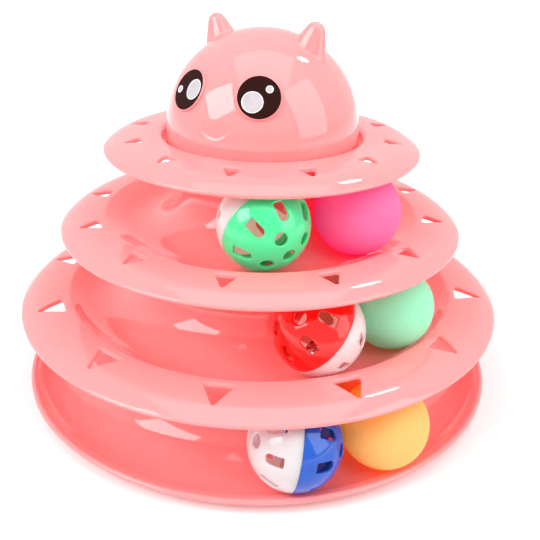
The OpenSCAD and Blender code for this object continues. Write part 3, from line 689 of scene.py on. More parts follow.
class Finish:
    """A new material, its shader and the nodes that are added to it."""

    def __init__(self, name):
        self.material = bpy.data.materials.new(name)
        self.material.use_nodes = True
        self.tree = self.material.node_tree
        self.shader = self.tree.nodes["Principled BSDF"]
        self.place = self.add("TexCoord").outputs["Object"]

    def add(self, kind, **values):
        node = self.tree.nodes.new("ShaderNode" + kind)
        for key, value in values.items():
            node.inputs[key].default_value = value
        return node

    def link(self, output, node, name):
        self.tree.links.new(output, node.inputs[name])

    def set(self, values):
        """Sets the shader's own sockets."""
        for key, value in values.items():
            self.shader.inputs[key].default_value = value

    def noise(self, scale, detail=2.0, roughness=0.5):
        node = self.add("TexNoise", Scale=scale, Detail=detail, Roughness=roughness)
        self.link(self.place, node, "Vector")
        return node.outputs["Fac"]

    def ranged(self, value, low, high):
        """A noise, spread from low to high."""
        node = self.add("MapRange", **{
            "From Min": NOISE_LOW, "From Max": NOISE_HIGH, "To Min": low, "To Max": high})
        self.link(value, node, "Value")
        return node.outputs["Result"]

    def colour(self, rgb, value, dark, light):
        """The base colour, which a noise moves between a darker and a lighter shade."""
        node = self.add("Mix")
        node.data_type = "RGBA"
        self.link(self.ranged(value, 0, 1), node, 0)
        for socket, factor in ((6, dark), (7, light)):
            node.inputs[socket].default_value = (*(min(1.0, c * factor) for c in rgb), 1)
        self.link(node.outputs[2], self.shader, "Base Color")

    def roughness(self, value, low, high):
        self.link(self.ranged(value, low, high), self.shader, "Roughness")

    def glow(self, rgb, strength):
        # sets an emission: a painted glow, since the part is no lamp
        self.set({"Emission Color": (*rgb, 1), "Emission Strength": strength})

    def bumps(self, *layers):
        """Bumps of several sizes, each as (height, strength, distance)."""
        last = None
        for height, strength, distance in layers:
            node = self.add("Bump", Strength=strength, Distance=distance)
            self.link(height, node, "Height")
            if last:
                self.link(last, node, "Normal")
            last = node.outputs["Normal"]
        self.link(last, self.shader, "Normal")


def painted_glow_colour(rgb):
    """Colour of the painted glow that lifts the shaded parts: the material's own colour, without
    its pale part.
    """
    low = min(rgb)
    return tuple((c - low) / (max(rgb) - low + TINY) for c in rgb)


def moulded_plastic(name, rgb, gloss=0.06, through=0.5, reach=3.0, warp=1.0, glow=0.0, light=None):
    """Injection moulded plastic: faint flow clouds, slow waves in the gloss and fine wear.

    through is the share of light that goes in, and reach how many millimetres far. glow is the
    strength of a painted glow that lifts the shaded parts, in the plastic's own colour or in that
    of light.
    """
    finish = Finish(name)
    finish.colour(rgb, finish.noise(scale=38, detail=3), dark=0.985, light=1.01)
    haze = finish.noise(scale=260, detail=4, roughness=0.6)
    finish.roughness(haze, gloss * 0.7, gloss * 1.3)
    finish.set({
        "IOR": 1.49, "Subsurface Weight": through, "Subsurface Scale": reach * MM,
        "Subsurface Radius": tuple(max(c ** 1.5, 0.05) for c in rgb)})
    # painted glow: an emission that lifts the shaded parts, though the plastic is no lamp
    if glow:
        finish.glow(light or painted_glow_colour(rgb), glow)
    waves = finish.noise(scale=55, detail=1)
    peel = finish.noise(scale=900)
    finish.bumps((waves, 0.3 * warp, 0.2 * MM), (peel, 0.03, 0.01 * MM))
    return finish.material


def sticker_vinyl(name, rgb, gloss):
    """Printed vinyl: even ink with a fine tooth in its gloss."""
    finish = Finish(name)
    finish.colour(rgb, finish.noise(scale=400, detail=3), dark=0.93, light=1.05)
    tooth = finish.noise(scale=1500, detail=3)
    finish.roughness(tooth, gloss * 0.85, gloss * 1.2)
    finish.set({"Specular IOR Level": 0.07})
    finish.bumps((tooth, 0.08, 0.02 * MM))
    return finish.material


def fine_foam(name, rgb, pore=0.6, depth=0.6, glow=0.0):
    """Ground EVA foam: tiny pores, speckled colour and a dry surface."""
    finish = Finish(name)
    pores = finish.add("TexVoronoi", Scale=1 / (pore * MM))
    finish.link(finish.place, pores, "Vector")
    grain = finish.noise(scale=1 / (0.9 * pore * MM), detail=3, roughness=0.7)
    finish.colour(rgb, grain, dark=0.86, light=1.1)
    finish.set({
        "Roughness": 0.85, "Specular IOR Level": 0.3, "Subsurface Weight": 0.15,
        "Subsurface Scale": 2.0 * MM, "Subsurface Radius": tuple(max(c, 0.1) for c in rgb)})
    # painted glow: an emission in the foam's own colour that lifts its shaded side
    if glow:
        finish.glow(painted_glow_colour(rgb), glow)
    dents = finish.noise(scale=120)
    finish.bumps(
        (dents, 0.25, 0.2 * MM), (pores.outputs["Distance"], depth, 0.12 * MM),
        (grain, depth, 0.08 * MM))
    return finish.material


def plated_steel(name, rgb):
    """Plated sheet metal with drawn marks and dull spots."""
    finish = Finish(name)
    spots = finish.noise(scale=500, detail=4, roughness=0.65)
    finish.colour(rgb, spots, dark=0.8, light=1.1)
    finish.roughness(spots, 0.2, 0.36)
    finish.set({"Metallic": 1.0})
    finish.bumps((finish.noise(scale=1400), 0.15, 0.03 * MM))
    return finish.material


def finish_of(scene, name):
    """The material of that name, made at its first use."""
    found = bpy.data.materials.get(name)
    if found:
        return found
    c = scene.toy_colours
    # glow is the strength of a painted glow that lifts each material's shaded parts; the inside
    # finish of the white halves paints the light that comes through their wall
    maker, rgb, values = {
        "toy_pink_plastic": (moulded_plastic, c.pink, dict(
            gloss=0.04, through=0.35, reach=2.5, glow=0.1)),
        "toy_green_plastic": (moulded_plastic, c.green, dict(
            gloss=0.04, through=0.7, reach=3.0, warp=0.6, glow=0.04)),
        "toy_red_plastic": (moulded_plastic, c.red, dict(
            gloss=0.04, through=0.5, reach=2.0, warp=0.6, glow=0.12)),
        "toy_blue_plastic": (moulded_plastic, c.blue, dict(
            gloss=0.04, through=0.4, reach=2.0, warp=0.6)),
        "toy_white_plastic": (moulded_plastic, c.white, dict(
            gloss=0.05, through=1.0, reach=8.0, warp=0.6)),
        "toy_white_inside": (moulded_plastic, c.white, dict(
            gloss=0.2, glow=0.3, light=tuple(c.through))),
        "toy_eye_black": (sticker_vinyl, c.black, dict(gloss=0.55)),
        "toy_eye_dot": (sticker_vinyl, c.dot, dict(gloss=0.3)),
        "toy_dot_line": (sticker_vinyl, c.line, dict(gloss=0.3)),
        "toy_pad_foam": (fine_foam, c.pad, dict(pore=0.3)),
        "toy_pink_foam": (fine_foam, c.foam_pink, dict(glow=0.38)),
        "toy_mint_foam": (fine_foam, c.foam_mint, dict(pore=0.4, depth=0.3, glow=0.1)),
        "toy_yellow_foam": (fine_foam, c.foam_yellow, dict(glow=0.3)),
        "toy_steel": (plated_steel, c.steel, {}),
    }[name]
    return maker(name, tuple(rgb), **values)


def settle(piece, body, slot, *nodes):
    """The piece rides on a body and stands for its nodes. slot is not used."""
    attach(piece, body)
    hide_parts(*nodes)


# Mouldings

HOLE_COUNT = 12
HOLE_MARGIN = 1.0 * MM
SECTOR_COLUMNS = 24
SECTOR_ROWS = 10
LUG_COUNT = 3


def lathe_turns(phase):
    count = HOLE_COUNT * SECTOR_COLUMNS
    return phase + np.arange(count) * FULL_TURN / count


def mould(scene, skin, name, node):
    """The skin as a piece of pink plastic on the tower."""
    piece = skin.build(name, [finish_of(scene, "toy_pink_plastic")])
    settle(piece, "tower", "pink_plastic", node)


def add_lugs(skin, plan, hub_r, seat):
    """Twist lock lugs round a spigot."""
    t = plan.sizes
    r = hub_r - t.collar_t - t.spigot_fit
    foot = seat - t.spigot_h + t.lug_foot
    for k in range(LUG_COUNT):
        start = FACE_ANGLE + t.lug_turn + k * FULL_TURN / LUG_COUNT
        skin.arc_block(r - t.wall / 2, r + t.lug_d, foot, foot + t.lug_h, start, t.lug_span)


def pierced_flange(skin, plan, flange, start, long, wide, first_turn):
    """The ring of triangular holes. Returns the radii where it meets the turned surfaces."""
    t = plan.sizes
    inner_r, outer_r = start - HOLE_MARGIN, start + long + HOLE_MARGIN
    outline = triangle(start, long, wide, t.hole_round)
    half = math.pi / HOLE_COUNT
    edge = sector_edge(inner_r, outer_r, half, SECTOR_COLUMNS, SECTOR_ROWS)
    radii, turns = edge.T
    flat = np.column_stack((radii * np.sin(turns), radii * np.cos(turns)))
    for k in range(HOLE_COUNT):
        turn = FACE_ANGLE + first_turn + 2 * half * k
        along = np.array((math.cos(turn), math.sin(turn)))
        across = np.array((-along[1], along[0]))

        def place(points, level, depth):
            ground = points[:, :1] * across + points[:, 1:] * along
            z = flange.heights(np.hypot(*points.T), level * t.wall)
            return np.column_stack((ground, z + (depth if level else -depth)))

        pierce(skin, (flat, flat), outline, place, t.hole_edge, t.hole_edge / 2)
    return inner_r, outer_r


def build_flanged(scene, node, rim_z, crest_r, crest_h, inset, hub_r, seat, inner_outline):
    """A moulding with a pierced flange and twist lugs, which stands in the hub below it.

    The names of its flange's sizes start as its node does. inner_outline(flange, inner_r) gives
    the rest of its half section, from inner_r on the underside to inner_r on top.
    """
    plan = Plan(scene)
    t = plan.sizes
    level = node.split("_")[0]
    rim_r, long, wide, first_turn = (
        getattr(t, f"{level}_{size}") for size in ("rim_r", "hole_l", "hole_w", "hole_angle"))
    flange = Flange((crest_r, rim_z + crest_h), rim_r, crest_h, t)
    skin = Skin()
    inner_r, outer_r = pierced_flange(
        skin, plan, flange, crest_r + inset, long, wide, first_turn)
    turns = lathe_turns(FACE_ANGLE + first_turn - math.pi / HOLE_COUNT)
    skin.lathe(flange.round_the_edge(outer_r), turns)
    skin.lathe(inner_outline(flange, inner_r), turns)
    add_lugs(skin, plan, hub_r, seat)
    mould(scene, skin, node + "_shell", node)


class TOY_OT_tray(bpy.types.Operator):
    """Build the tray with its bottom track, rounded rim, skirt and hub"""

    bl_idname = "track_toy.tray"
    bl_label = "Tray"

    def execute(self, context):
        plan = Plan(context.scene)
        t = plan.sizes
        skin = Skin()
        skin.lathe(tray_outline(plan), lathe_turns(0), closed=True)
        for place in pad_places(plan):
            stack_disc(skin, place, t.pad_d / 2 + PAD_SEAT_MARGIN, t.pad_h,
                       t.pad_h + t.wall * PAD_SEAT_SHARE, PAD_SEAT_ROUND)
        mould(context.scene, skin, "tray_shell", "base_tray")
        return {"FINISHED"}


class TOY_OT_tiers(bpy.types.Operator):
    """Build the lower and the middle tier with their tracks, hubs and spigots"""

    bl_idname = "track_toy.tiers"
    bl_label = "Tiers"

    def execute(self, context):
        p = Plan(context.scene)
        t = p.sizes
        tiers = (
            ("lower_tier", p.lower_rim, t.lower_track_r, p.lower_floor, p.lower_crest_r,
             p.tray_hub, p.lower_seat, p.middle_seat),
            ("middle_tier", p.middle_rim, t.middle_track_r, p.middle_floor, p.middle_crest_r,
             p.lower_hub, p.middle_seat, p.top_seat))
        for node, rim_z, track_r, floor, crest_r, below_hub, seat, hub_top in tiers:

            def inner_outline(flange, inner_r):
                return tier_outline(
                    p, flange, track_r, floor, below_hub, seat, hub_top, inner_r)

            build_flanged(context.scene, node, rim_z, crest_r, t.crest_h, t.tier_hole_inset,
                          below_hub, seat, inner_outline)
        return {"FINISHED"}


class TOY_OT_top_flange(bpy.types.Operator):
    """Build the top flange with the recess that the head stands in"""

    bl_idname = "track_toy.top_flange"
    bl_label = "Top flange"

    def execute(self, context):
        plan = Plan(context.scene)
        t = plan.sizes

        def inner_outline(flange, inner_r):
            return top_outline(plan, flange, inner_r)

        build_flanged(context.scene, "top_flange", plan.top_rim, plan.recess_r + t.roll_r,
                      t.top_crest_h, t.top_hole_inset, plan.middle_hub, plan.top_seat,
                      inner_outline)
        return {"FINISHED"}


# Pads

PADS = ("front_right_pad", "rear_right_pad", "rear_left_pad", "front_left_pad")
FIRST_PAD_ANGLE = -math.pi / 4
PAD_ROUND = 0.35 * MM
PAD_SEAT_MARGIN = 1.0 * MM
PAD_SEAT_SHARE = 0.75
PAD_SEAT_ROUND = 0.3 * MM
DISC_COLUMNS = 64
DISC_SHARES = (0.35, 0.7)


def pad_places(plan):
    r = plan.sizes.tray_track_r
    turns = [FIRST_PAD_ANGLE + k * RIGHT_ANGLE for k in range(len(PADS))]
    return [(r * math.cos(turn), r * math.sin(turn)) for turn in turns]


def stack_disc(skin, centre, r, z0, z1, corner, columns=DISC_COLUMNS):
    """A closed upright disc with rounded edges."""
    turns = np.linspace(0, FULL_TURN, columns, endpoint=False)
    section = (
        [(r * s, z0) for s in DISC_SHARES]
        + arc(under, (r - corner, z0 + corner), corner, 0, RIGHT_ANGLE, steps=4)
        + arc(over, (r - corner, z1 - corner), corner, RIGHT_ANGLE, 0, steps=4)
        + [(r * s, z1) for s in DISC_SHARES[::-1]])
    x, y = centre
    rows = [[(x + a * math.cos(t), y + a * math.sin(t), z) for t in turns] for a, z in section]
    skin.grid(rows, close_columns=True)
    skin.fan(np.array(rows[0]), (x, y, z0))
    skin.fan(np.array(rows[-1]), (x, y, z1))


class TOY_OT_pads(bpy.types.Operator):
    """Build the four anti-slip pads under the tray"""

    bl_idname = "track_toy.pads"
    bl_label = "Pads"

    def execute(self, context):
        plan = Plan(context.scene)
        t = plan.sizes
        for node, place in zip(PADS, pad_places(plan)):
            skin = Skin()
            stack_disc(skin, place, t.pad_d / 2, 0, t.pad_h, PAD_ROUND)
            piece = skin.build(node + "_foam", [finish_of(context.scene, "toy_pad_foam")])
            settle(piece, "tower", "pad_foam", node)
        return {"FINISHED"}


# Head

SMILE_HALF_TURN = math.radians(14)
SMILE_TOP = math.radians(70)
SMILE_COLUMNS = 46
SMILE_ROWS = 28
SMILE_SHALLOW_SHARE = 0.12
SMILE_HEART_SHARE = 0.42
SMILE_RING_SHARES = (0.25, 0.5, 0.75, 0.9)
SMILE_PANEL_ROWS = 8
SMILE_WALL_ROWS = 12
EAR_HALF_TURN = math.radians(31)
EAR_COLUMNS = 110
BACK_COLUMNS = 90
SIDE_COLUMNS = 34
FIRST_TILT = math.radians(1.2)
EAR_TOP_TILT = math.radians(12)
EAR_FOOT_TILT = math.radians(50)
INNER_TILT = math.radians(1.5)
TOP_ROWS = 8
EAR_ROWS = 70
SIDE_ROWS = 16
FOOT_ROWS = 6
FOOT_DRAFT_POWER = 1.5
REACH_STEPS = 24


def face_axes(side, lat):
    """Axes of a place on the face: across, up and out."""
    turn = Matrix.Rotation(side, 3, "Z") @ Matrix.Rotation(RIGHT_ANGLE - lat, 3, "X")
    return np.array(turn.transposed())


def rolled(axes, turn):
    """The same axes, turned about the one that points out."""
    across, up, out = axes
    return (
        across * math.cos(turn) + up * math.sin(turn),
        up * math.cos(turn) - across * math.sin(turn), out)


def round_cone(points, foot, tip, foot_r, tip_r):
    """Distance to a cone with round ends."""
    axis = tip - foot
    long = np.linalg.norm(axis)
    slope = (foot_r - tip_r) / long
    rise = math.sqrt(1 - slope * slope)
    along = (points - foot) @ axis / long
    across = np.sqrt(np.maximum(((points - foot) ** 2).sum(-1) - along ** 2, 0))
    side = across * rise + along * slope - foot_r
    low = np.hypot(across, along) - foot_r
    high = np.hypot(across, along - long) - tip_r
    place = along * rise - across * slope
    return np.where(place < 0, low, np.where(place > long * rise, high, side))


def head_reach(directions, h):
    """Distance from the dome's centre to the skin of dome and ears, along each direction."""
    low = np.full(len(directions), h.dome_r - MM)
    high = np.full(len(directions), h.dome_r + 4 * h.ear_tip_r)
    cones = []
    for side in (1, -1):
        tip = np.array((side * h.ear_tip_x, 0, h.ear_tip_z))
        base = np.array((side * h.ear_base_x, 0, h.ear_base_z))
        axis = (tip - base) / np.linalg.norm(tip - base)
        slope = (h.ear_base_r - h.ear_tip_r) / np.linalg.norm(tip - base)
        foot_r = h.ear_base_r + h.ear_sink * slope
        cones.append((base - axis * h.ear_sink, tip, foot_r, h.ear_tip_r))
    for _ in range(REACH_STEPS):
        middle = (low + high) / 2
        points = directions * middle[:, None]
        gap = middle - h.dome_r
        for cone in cones:
            ear = round_cone(points * (1, h.ear_flatness, 1), *cone)
            mix = np.clip(0.5 + 0.5 * (ear - gap) / h.ear_blend, 0, 1)
            gap = ear * (1 - mix) + gap * mix - h.ear_blend * mix * (1 - mix)
        inside = gap < 0
        low, high = np.where(inside, middle, low), np.where(inside, high, middle)
    return (low + high) / 2


def spaced(*spans):
    """Values along spans of their own steps: (start, end, count), ends shared."""
    values = [spans[0][0]]
    for start, end, count in spans:
        values += list(np.linspace(start, end, count + 1)[1:])
    return np.array(values)


def head_columns(smile_turn):
    """Turns of the head's columns, close together at the smile and the ears."""
    first, last = smile_turn - SMILE_HALF_TURN, smile_turn + SMILE_HALF_TURN
    ear = EAR_HALF_TURN
    return spaced(
        (first, last, SMILE_COLUMNS), (last, -ear, SIDE_COLUMNS), (-ear, ear, EAR_COLUMNS),
        (ear, math.pi - ear, BACK_COLUMNS), (math.pi - ear, math.pi + ear, EAR_COLUMNS),
        (math.pi + ear, first + FULL_TURN, SIDE_COLUMNS))[:-1]


def press_smile(skin, h, centre, levels, columns):
    """The panel round the smile and the smile pressed into it."""
    side, lat, turn = h.smile_place
    across, up, out = rolled(face_axes(side, lat), turn)
    edge = h.dome_r * np.array(
        [(math.cos(e) * math.cos(a), math.cos(e) * math.sin(a), math.sin(e))
         for e, a in panel_edge(RIGHT_ANGLE - levels[::-1], columns[:SMILE_COLUMNS + 1])])
    edge = np.column_stack((edge @ across, edge @ up))
    outline = smile_outline(h.smile_r, h.smile_corner)
    count = len(edge)
    wall = h.smile_wall

    def place(points, depth):
        low = np.sqrt(np.clip(-points[:, 1] / h.smile_r, 0, 1))
        r = h.dome_r - depth * (SMILE_SHALLOW_SHARE + (1 - SMILE_SHALLOW_SHARE) * low)
        z = np.sqrt(np.maximum(r * r - (points ** 2).sum(1), 0))
        return points[:, :1] * across + points[:, 1:] * up + z[:, None] * out + centre

    rim = outline.spread(count, wall / 2)
    rings = [place(edge + (rim - edge) * s, 0)
             for s in np.linspace(0, 1, SMILE_PANEL_ROWS, endpoint=False)]
    for s in np.linspace(0, 1, SMILE_WALL_ROWS):
        depth = h.smile_depth * (1 - math.cos(math.pi * s)) / 2
        rings.append(place(outline.spread(count, wall / 2 - wall * s), depth))
    inner = outline.spread(count, -wall / 2)
    heart = np.array((0, -h.smile_r * SMILE_HEART_SHARE))
    for s in SMILE_RING_SHARES:
        rings.append(place(inner + (heart - inner) * s, h.smile_depth))
    skin.grid(rings, close_columns=True)
    skin.fan(rings[-1], place(heart[None], h.smile_depth)[0])


HOOK_COUNT = 3


def hook_section(plan):
    """Half section of a snap hook, from the dome's centre."""
    h, t = plan.head, plan.sizes
    thick, play = h.hook_t, h.hook_play
    r = h.dome_r - h.dome_wall - thick - play
    foot = -h.dome_skirt - t.wall - play - h.hook_lip_h
    barb = r + thick + play + h.hook_lip
    root = r + thick + play + h.dome_wall / 2
    return [
        (r, foot), (barb - h.hook_lip / 2, foot), (barb, foot + h.hook_lip_h),
        (r + thick, foot + h.hook_lip_h), (r + thick, -h.dome_skirt), (root, -h.dome_skirt),
        (root, h.hook_rise - h.dome_skirt), (r, h.hook_rise - h.dome_skirt)]


class TOY_OT_head(bpy.types.Operator):
    """Build the hollow head with its two ears, the pressed smile and the snap hooks"""

    bl_idname = "track_toy.head"
    bl_label = "Head"

    def execute(self, context):
        plan = Plan(context.scene)
        h = plan.head
        centre = np.array(plan.dome)
        columns = head_columns(FACE_ANGLE + h.smile_place[0])
        tilts = spaced(
            (FIRST_TILT, EAR_TOP_TILT, TOP_ROWS), (EAR_TOP_TILT, EAR_FOOT_TILT, EAR_ROWS),
            (EAR_FOOT_TILT, SMILE_TOP, SIDE_ROWS), (SMILE_TOP, RIGHT_ANGLE, SMILE_ROWS))
        first = len(tilts) - SMILE_ROWS - 1
        tilt, turn = np.meshgrid(tilts, columns, indexing="ij")
        directions = np.stack(
            (np.sin(tilt) * np.cos(turn), np.sin(tilt) * np.sin(turn), np.cos(tilt)), axis=-1)
        reach = head_reach(directions.reshape(-1, 3), h).reshape(tilt.shape)
        rows = directions * reach[..., None] + centre
        skin = Skin()
        skin.grid(rows[:first + 1], close_columns=True)
        skin.fan(rows[0], centre + (0, 0, h.dome_r))
        skin.grid(np.concatenate((rows[first:, SMILE_COLUMNS:], rows[first:, :1]), axis=1))
        press_smile(skin, h, centre, tilts[first:], columns)
        skin.lathe(self.foot(h) + (0, centre[2]), columns)
        inner_r = h.dome_r - h.dome_wall
        inner = np.array(arc(over, (0, centre[2]), inner_r, INNER_TILT, RIGHT_ANGLE, steps=59))
        skin.lathe(inner, columns)
        top = [(inner[0][0] * math.cos(a), inner[0][0] * math.sin(a), inner[0][1])
               for a in columns]
        skin.fan(np.array(top), centre + (0, 0, inner_r))
        self.hooks(skin, plan)
        for side, lat, _ in (h.right_eye, h.left_eye):
            face_disc(skin, plan, face_axes(side, lat), (0, 0), h.eye_d / 2 + h.eye_rim,
                      inner_r + h.dome_wall / 4, h.dome_r + h.eye_lift, h.eye_edge)
        mould(context.scene, skin, "cat_head", "head")
        return {"FINISHED"}

    def foot(self, h):
        """Half section of the skirt, its foot and its inside, from the dome's centre."""
        drops = np.linspace(0, h.dome_skirt - h.foot_round, FOOT_ROWS)
        outside = [(h.dome_r + h.skirt_draft * (d / h.dome_skirt) ** FOOT_DRAFT_POWER, -d)
                   for d in drops]
        corner = (outside[-1][0] - h.foot_round, outside[-1][1])
        inner = h.dome_r - h.dome_wall
        return np.array(
            outside + arc(under, corner, h.foot_round, RIGHT_ANGLE, 0, steps=5)[1:]
            + [(inner + h.skirt_draft, -h.dome_skirt), (inner, 0)])

    def hooks(self, skin, plan):
        section = hook_section(plan)
        for k in range(HOOK_COUNT):
            turn = FACE_ANGLE + k * FULL_TURN / HOOK_COUNT
            along = np.array((math.cos(turn), math.sin(turn), 0))
            across = np.array((-along[1], along[0], 0))

            def place(point, shift):
                height = np.array((0, 0, point[1]))
                return along * point[0] + across * shift + height + np.array(plan.dome)

            skin.prism(section, place, plan.head.hook_w)


# Eyes

FACE_COLUMNS = 96
FACE_ROWS = 6
HEART_SHARE = 0.25
BACK_SHARES = (1, 0.8, 0.5, HEART_SHARE)


def face_disc(skin, plan, axes, middle, r, low, high, corner, tints=((1.0, 0),)):
    """A flat round disc that faces out of the dome, its upper edge rounded.

    tints are shares of the radius, inwards from the rim, each with the finish out to it.
    """
    across, up, out = axes
    turns = np.linspace(0, FULL_TURN, FACE_COLUMNS, endpoint=False)
    ring = np.column_stack((np.cos(turns), np.sin(turns)))
    centre = np.array(plan.dome) + middle[0] * across + middle[1] * up

    def place(radius, level):
        points = ring * radius
        return points[:, :1] * across + points[:, 1:] * up + level * out + centre

    start = HEART_SHARE
    for outer, tint in tints:
        shares = np.linspace(start, outer, FACE_ROWS)
        skin.grid([place((r - corner) * s, high) for s in shares], close_columns=True, tint=tint)
        start = outer
    skin.fan(place((r - corner) * HEART_SHARE, high), high * out + centre, tints[0][1])
    rim = [place(*point)
           for point in arc(over, (r - corner, high - corner), corner, 0, RIGHT_ANGLE, steps=4)]
    rim += [place(r * s, low) for s in BACK_SHARES]
    skin.grid(rim, close_columns=True, tint=tints[-1][1])
    skin.fan(place(r * HEART_SHARE, low), low * out + centre, tints[-1][1])


class TOY_OT_eyes(bpy.types.Operator):
    """Build the two eye stickers and their printed dots"""

    bl_idname = "track_toy.eyes"
    bl_label = "Eyes"

    def execute(self, context):
        scene = context.scene
        plan = Plan(scene)
        h = plan.head
        low, high = h.dome_r + h.eye_lift + h.layer_gap, h.dome_r + h.eye_lift + h.eye_t
        dots_low = high + h.layer_gap
        black = finish_of(scene, "toy_eye_black")
        pale = [finish_of(scene, "toy_eye_dot"), finish_of(scene, "toy_dot_line")]
        eyes = (("right_eye", h.right_eye, h.right_dots), ("left_eye", h.left_eye, h.left_dots))
        for name, (side, lat, turn), (small_shift, big_shift) in eyes:
            axes = face_axes(side, lat)
            skin = Skin()
            face_disc(skin, plan, axes, (0, 0), h.eye_d / 2, low, high, h.sticker_edge)
            settle(skin.build(name + "_sticker", [black]), "tower", "eye_black", name)
            dots = Skin()
            for shift, wide in ((small_shift, h.small_dot_d), (-big_shift, h.big_dot_d)):
                middle = (shift * math.cos(turn), shift * math.sin(turn))
                inner = 1 - h.dot_line / (wide / 2)
                face_disc(dots, plan, axes, middle, wide / 2, dots_low, dots_low + h.print_t,
                          h.print_t / 2, ((inner, 0), (1.0, 1)))
            settle(dots.build(name + "_print", pale), "tower", "eye_dot", name + "_dots")
        return {"FINISHED"}


# Balls

SECTOR_TURN = math.pi / 4
CAGE_COLUMNS = 16
CAGE_ROWS = 10
CAGE_PANEL_ROWS = 4
CAP_SHARE = 0.5
SLOT_COUNT = 8
RING_COUNT = 4
SLOT_CLEAR = math.radians(4.5)


def pole_axes(tilt, turn):
    """Axes of a place on a cage half: across, away from its pole and out."""
    along = np.array((math.cos(turn), math.sin(turn), 0))
    pole = np.array((0, 0, 1))
    return (
        np.array((-along[1], along[0], 0)),
        along * math.cos(tilt) - pole * math.sin(tilt),
        along * math.sin(tilt) + pole * math.cos(tilt))


def cage_half_skin(b, with_lip):
    """One half of a cage ball round its own centre, its pole up."""
    outer, inner = b.cage_d / 2, b.cage_d / 2 - b.cage_wall
    radii = (outer, inner)
    hole = math.asin(b.hole_d / 2 / outer)
    slot = math.asin(b.slot_l / 2 / outer)
    cap = b.ring_tilt * CAP_SHARE
    belt = (b.ring_tilt + hole + b.slot_tilt - slot) / 2
    shoulder = b.slot_tilt + slot + SLOT_CLEAR
    upper, lower = b.edge_round, b.edge_round / 2
    middle = (0, 0)
    skin = Skin()

    def sector(tilt, turn, low, high, half, columns, outline):
        across, away, out = pole_axes(tilt, turn)

        def place(points, level, depth):
            r = radii[level] + (depth if level else -depth)
            z = np.sqrt(r * r - (points ** 2).sum(1))
            return points[:, :1] * across + points[:, 1:] * away + z[:, None] * out

        e, a = sector_edge(low, high, half, columns, CAGE_ROWS).T
        a = a + turn
        unit = np.column_stack((np.sin(e) * np.cos(a), np.sin(e) * np.sin(a), np.cos(e)))
        flat = np.column_stack((unit @ across, unit @ away))
        pierce(skin, [flat * r for r in radii], outline, place, upper, lower, CAGE_PANEL_ROWS, 1)

    def pole_edge(surface, size, sign):
        """The rounded edge of the hole at the pole, from the surface to the hole's wall."""
        turns = np.linspace(0, RIGHT_ANGLE, ROUND_STEPS + 1)
        r = b.hole_d / 2 + size * (1 - np.sin(turns))
        z = np.sqrt(surface ** 2 - r ** 2) - sign * size * (1 - np.cos(turns))
        return list(np.column_stack((r, z)))

    slot_outline = arch(b.slot_l, b.slot_w, b.slot_corner)
    for k in range(SLOT_COUNT):
        sector(b.slot_tilt, (k + 0.5) * SECTOR_TURN, belt, shoulder, SECTOR_TURN / 2,
               CAGE_COLUMNS, slot_outline)
    for k in range(RING_COUNT):
        sector(b.ring_tilt, k * RIGHT_ANGLE, cap, belt, RIGHT_ANGLE / 2, 2 * CAGE_COLUMNS,
               disc(b.hole_d / 2))
    turns = np.linspace(0, FULL_TURN, SLOT_COUNT * CAGE_COLUMNS, endpoint=False)
    upper_end = math.asin((b.hole_d / 2 + upper) / outer)
    lower_end = math.asin((b.hole_d / 2 + lower) / inner)
    outside = arc(over, middle, outer, cap, upper_end, steps=3)[:-1]
    outside += pole_edge(outer, upper, 1)
    inside = pole_edge(inner, lower, -1)[::-1]
    inside += arc(over, middle, inner, lower_end, cap, steps=3)[1:]
    skin.lathe(outside, turns)
    skin.lathe(outside[-1:] + inside, turns, tint=1)
    seam = b.seam_round
    seam_end = RIGHT_ANGLE - math.asin(seam / outer)
    outside = (
        arc(over, middle, outer, shoulder, seam_end, steps=5)
        + arc(under, (outer - seam, seam), seam, RIGHT_ANGLE, 0, steps=3)[1:] + [(inner, 0)])
    skin.lathe(outside, turns)
    skin.lathe([(inner, 0)] + arc(over, middle, inner, RIGHT_ANGLE, shoulder, steps=4)[1:], turns,
               tint=1)
    if with_lip:
        near, far = inner - b.lip_fit, inner + b.lip_fit
        skin.lathe([
            (near - b.lip_t, -b.lip_h), (near, -b.lip_h), (near, 0),
            (far, 0), (far, b.lip_h), (near - b.lip_t, b.lip_h)], turns, closed=True)
    return skin


def turned(azimuth, tilt, spin):
    return (
        Matrix.Rotation(azimuth, 4, "Z") @ Matrix.Rotation(tilt, 4, "Y")
        @ Matrix.Rotation(spin, 4, "Z"))


class TOY_OT_cage_balls(bpy.types.Operator):
    """Build the two pierced halves of each cage ball"""

    bl_idname = "track_toy.cage_balls"
    bl_label = "Cage balls"

    def execute(self, context):
        scene = context.scene
        plan = Plan(scene)
        b = plan.balls
        for (name, tier), spin in zip(CAGE_BALLS.items(), b.white_spins):
            centre = plan.resting(tier, getattr(b, name + "_angle"), plan.ball_r)
            azimuth, elevation, own_spin = getattr(b, name + "_aim")
            halves = (
                (name + "_half", name, True,
                 turned(azimuth, RIGHT_ANGLE - elevation, own_spin)),
                (name + "_white_half", "white", False,
                 turned(azimuth + math.pi, RIGHT_ANGLE + elevation, spin)))
            for node, tint, with_lip, aimed in halves:
                outside = finish_of(scene, f"toy_{tint}_plastic")
                # the white half's inner surface takes a painted glow in place of the light that
                # comes through its wall
                inside = outside if with_lip else finish_of(scene, "toy_white_inside")
                piece = cage_half_skin(b, with_lip).build(node + "_cage", [outside, inside])
                piece.data.transform(Matrix.Translation(centre) @ aimed)
                settle(piece, name + "_shell", "cage_" + tint, node)
        return {"FINISHED"}


BELL_COLUMNS = 72
BELL_HOLE_COLUMNS = 32
BELL_CORE_ROWS = 40
BELL_WALL_SHARE = 1 / 12
BELL_FOLD_SHARE = 1 / 20
BELL_FOLD_H_SHARE = 1 / 9
BELL_CUP_SHARE = 0.985
BELL_CORE_SHARES = (0.97, 0.98)
BELL_SLIT_SHARE = 0.2
BELL_HOLE_SHARES = (0.1, 0.02)
BELL_POLE_TURN = 0.02
BELL_FOLD_TURN = 0.12


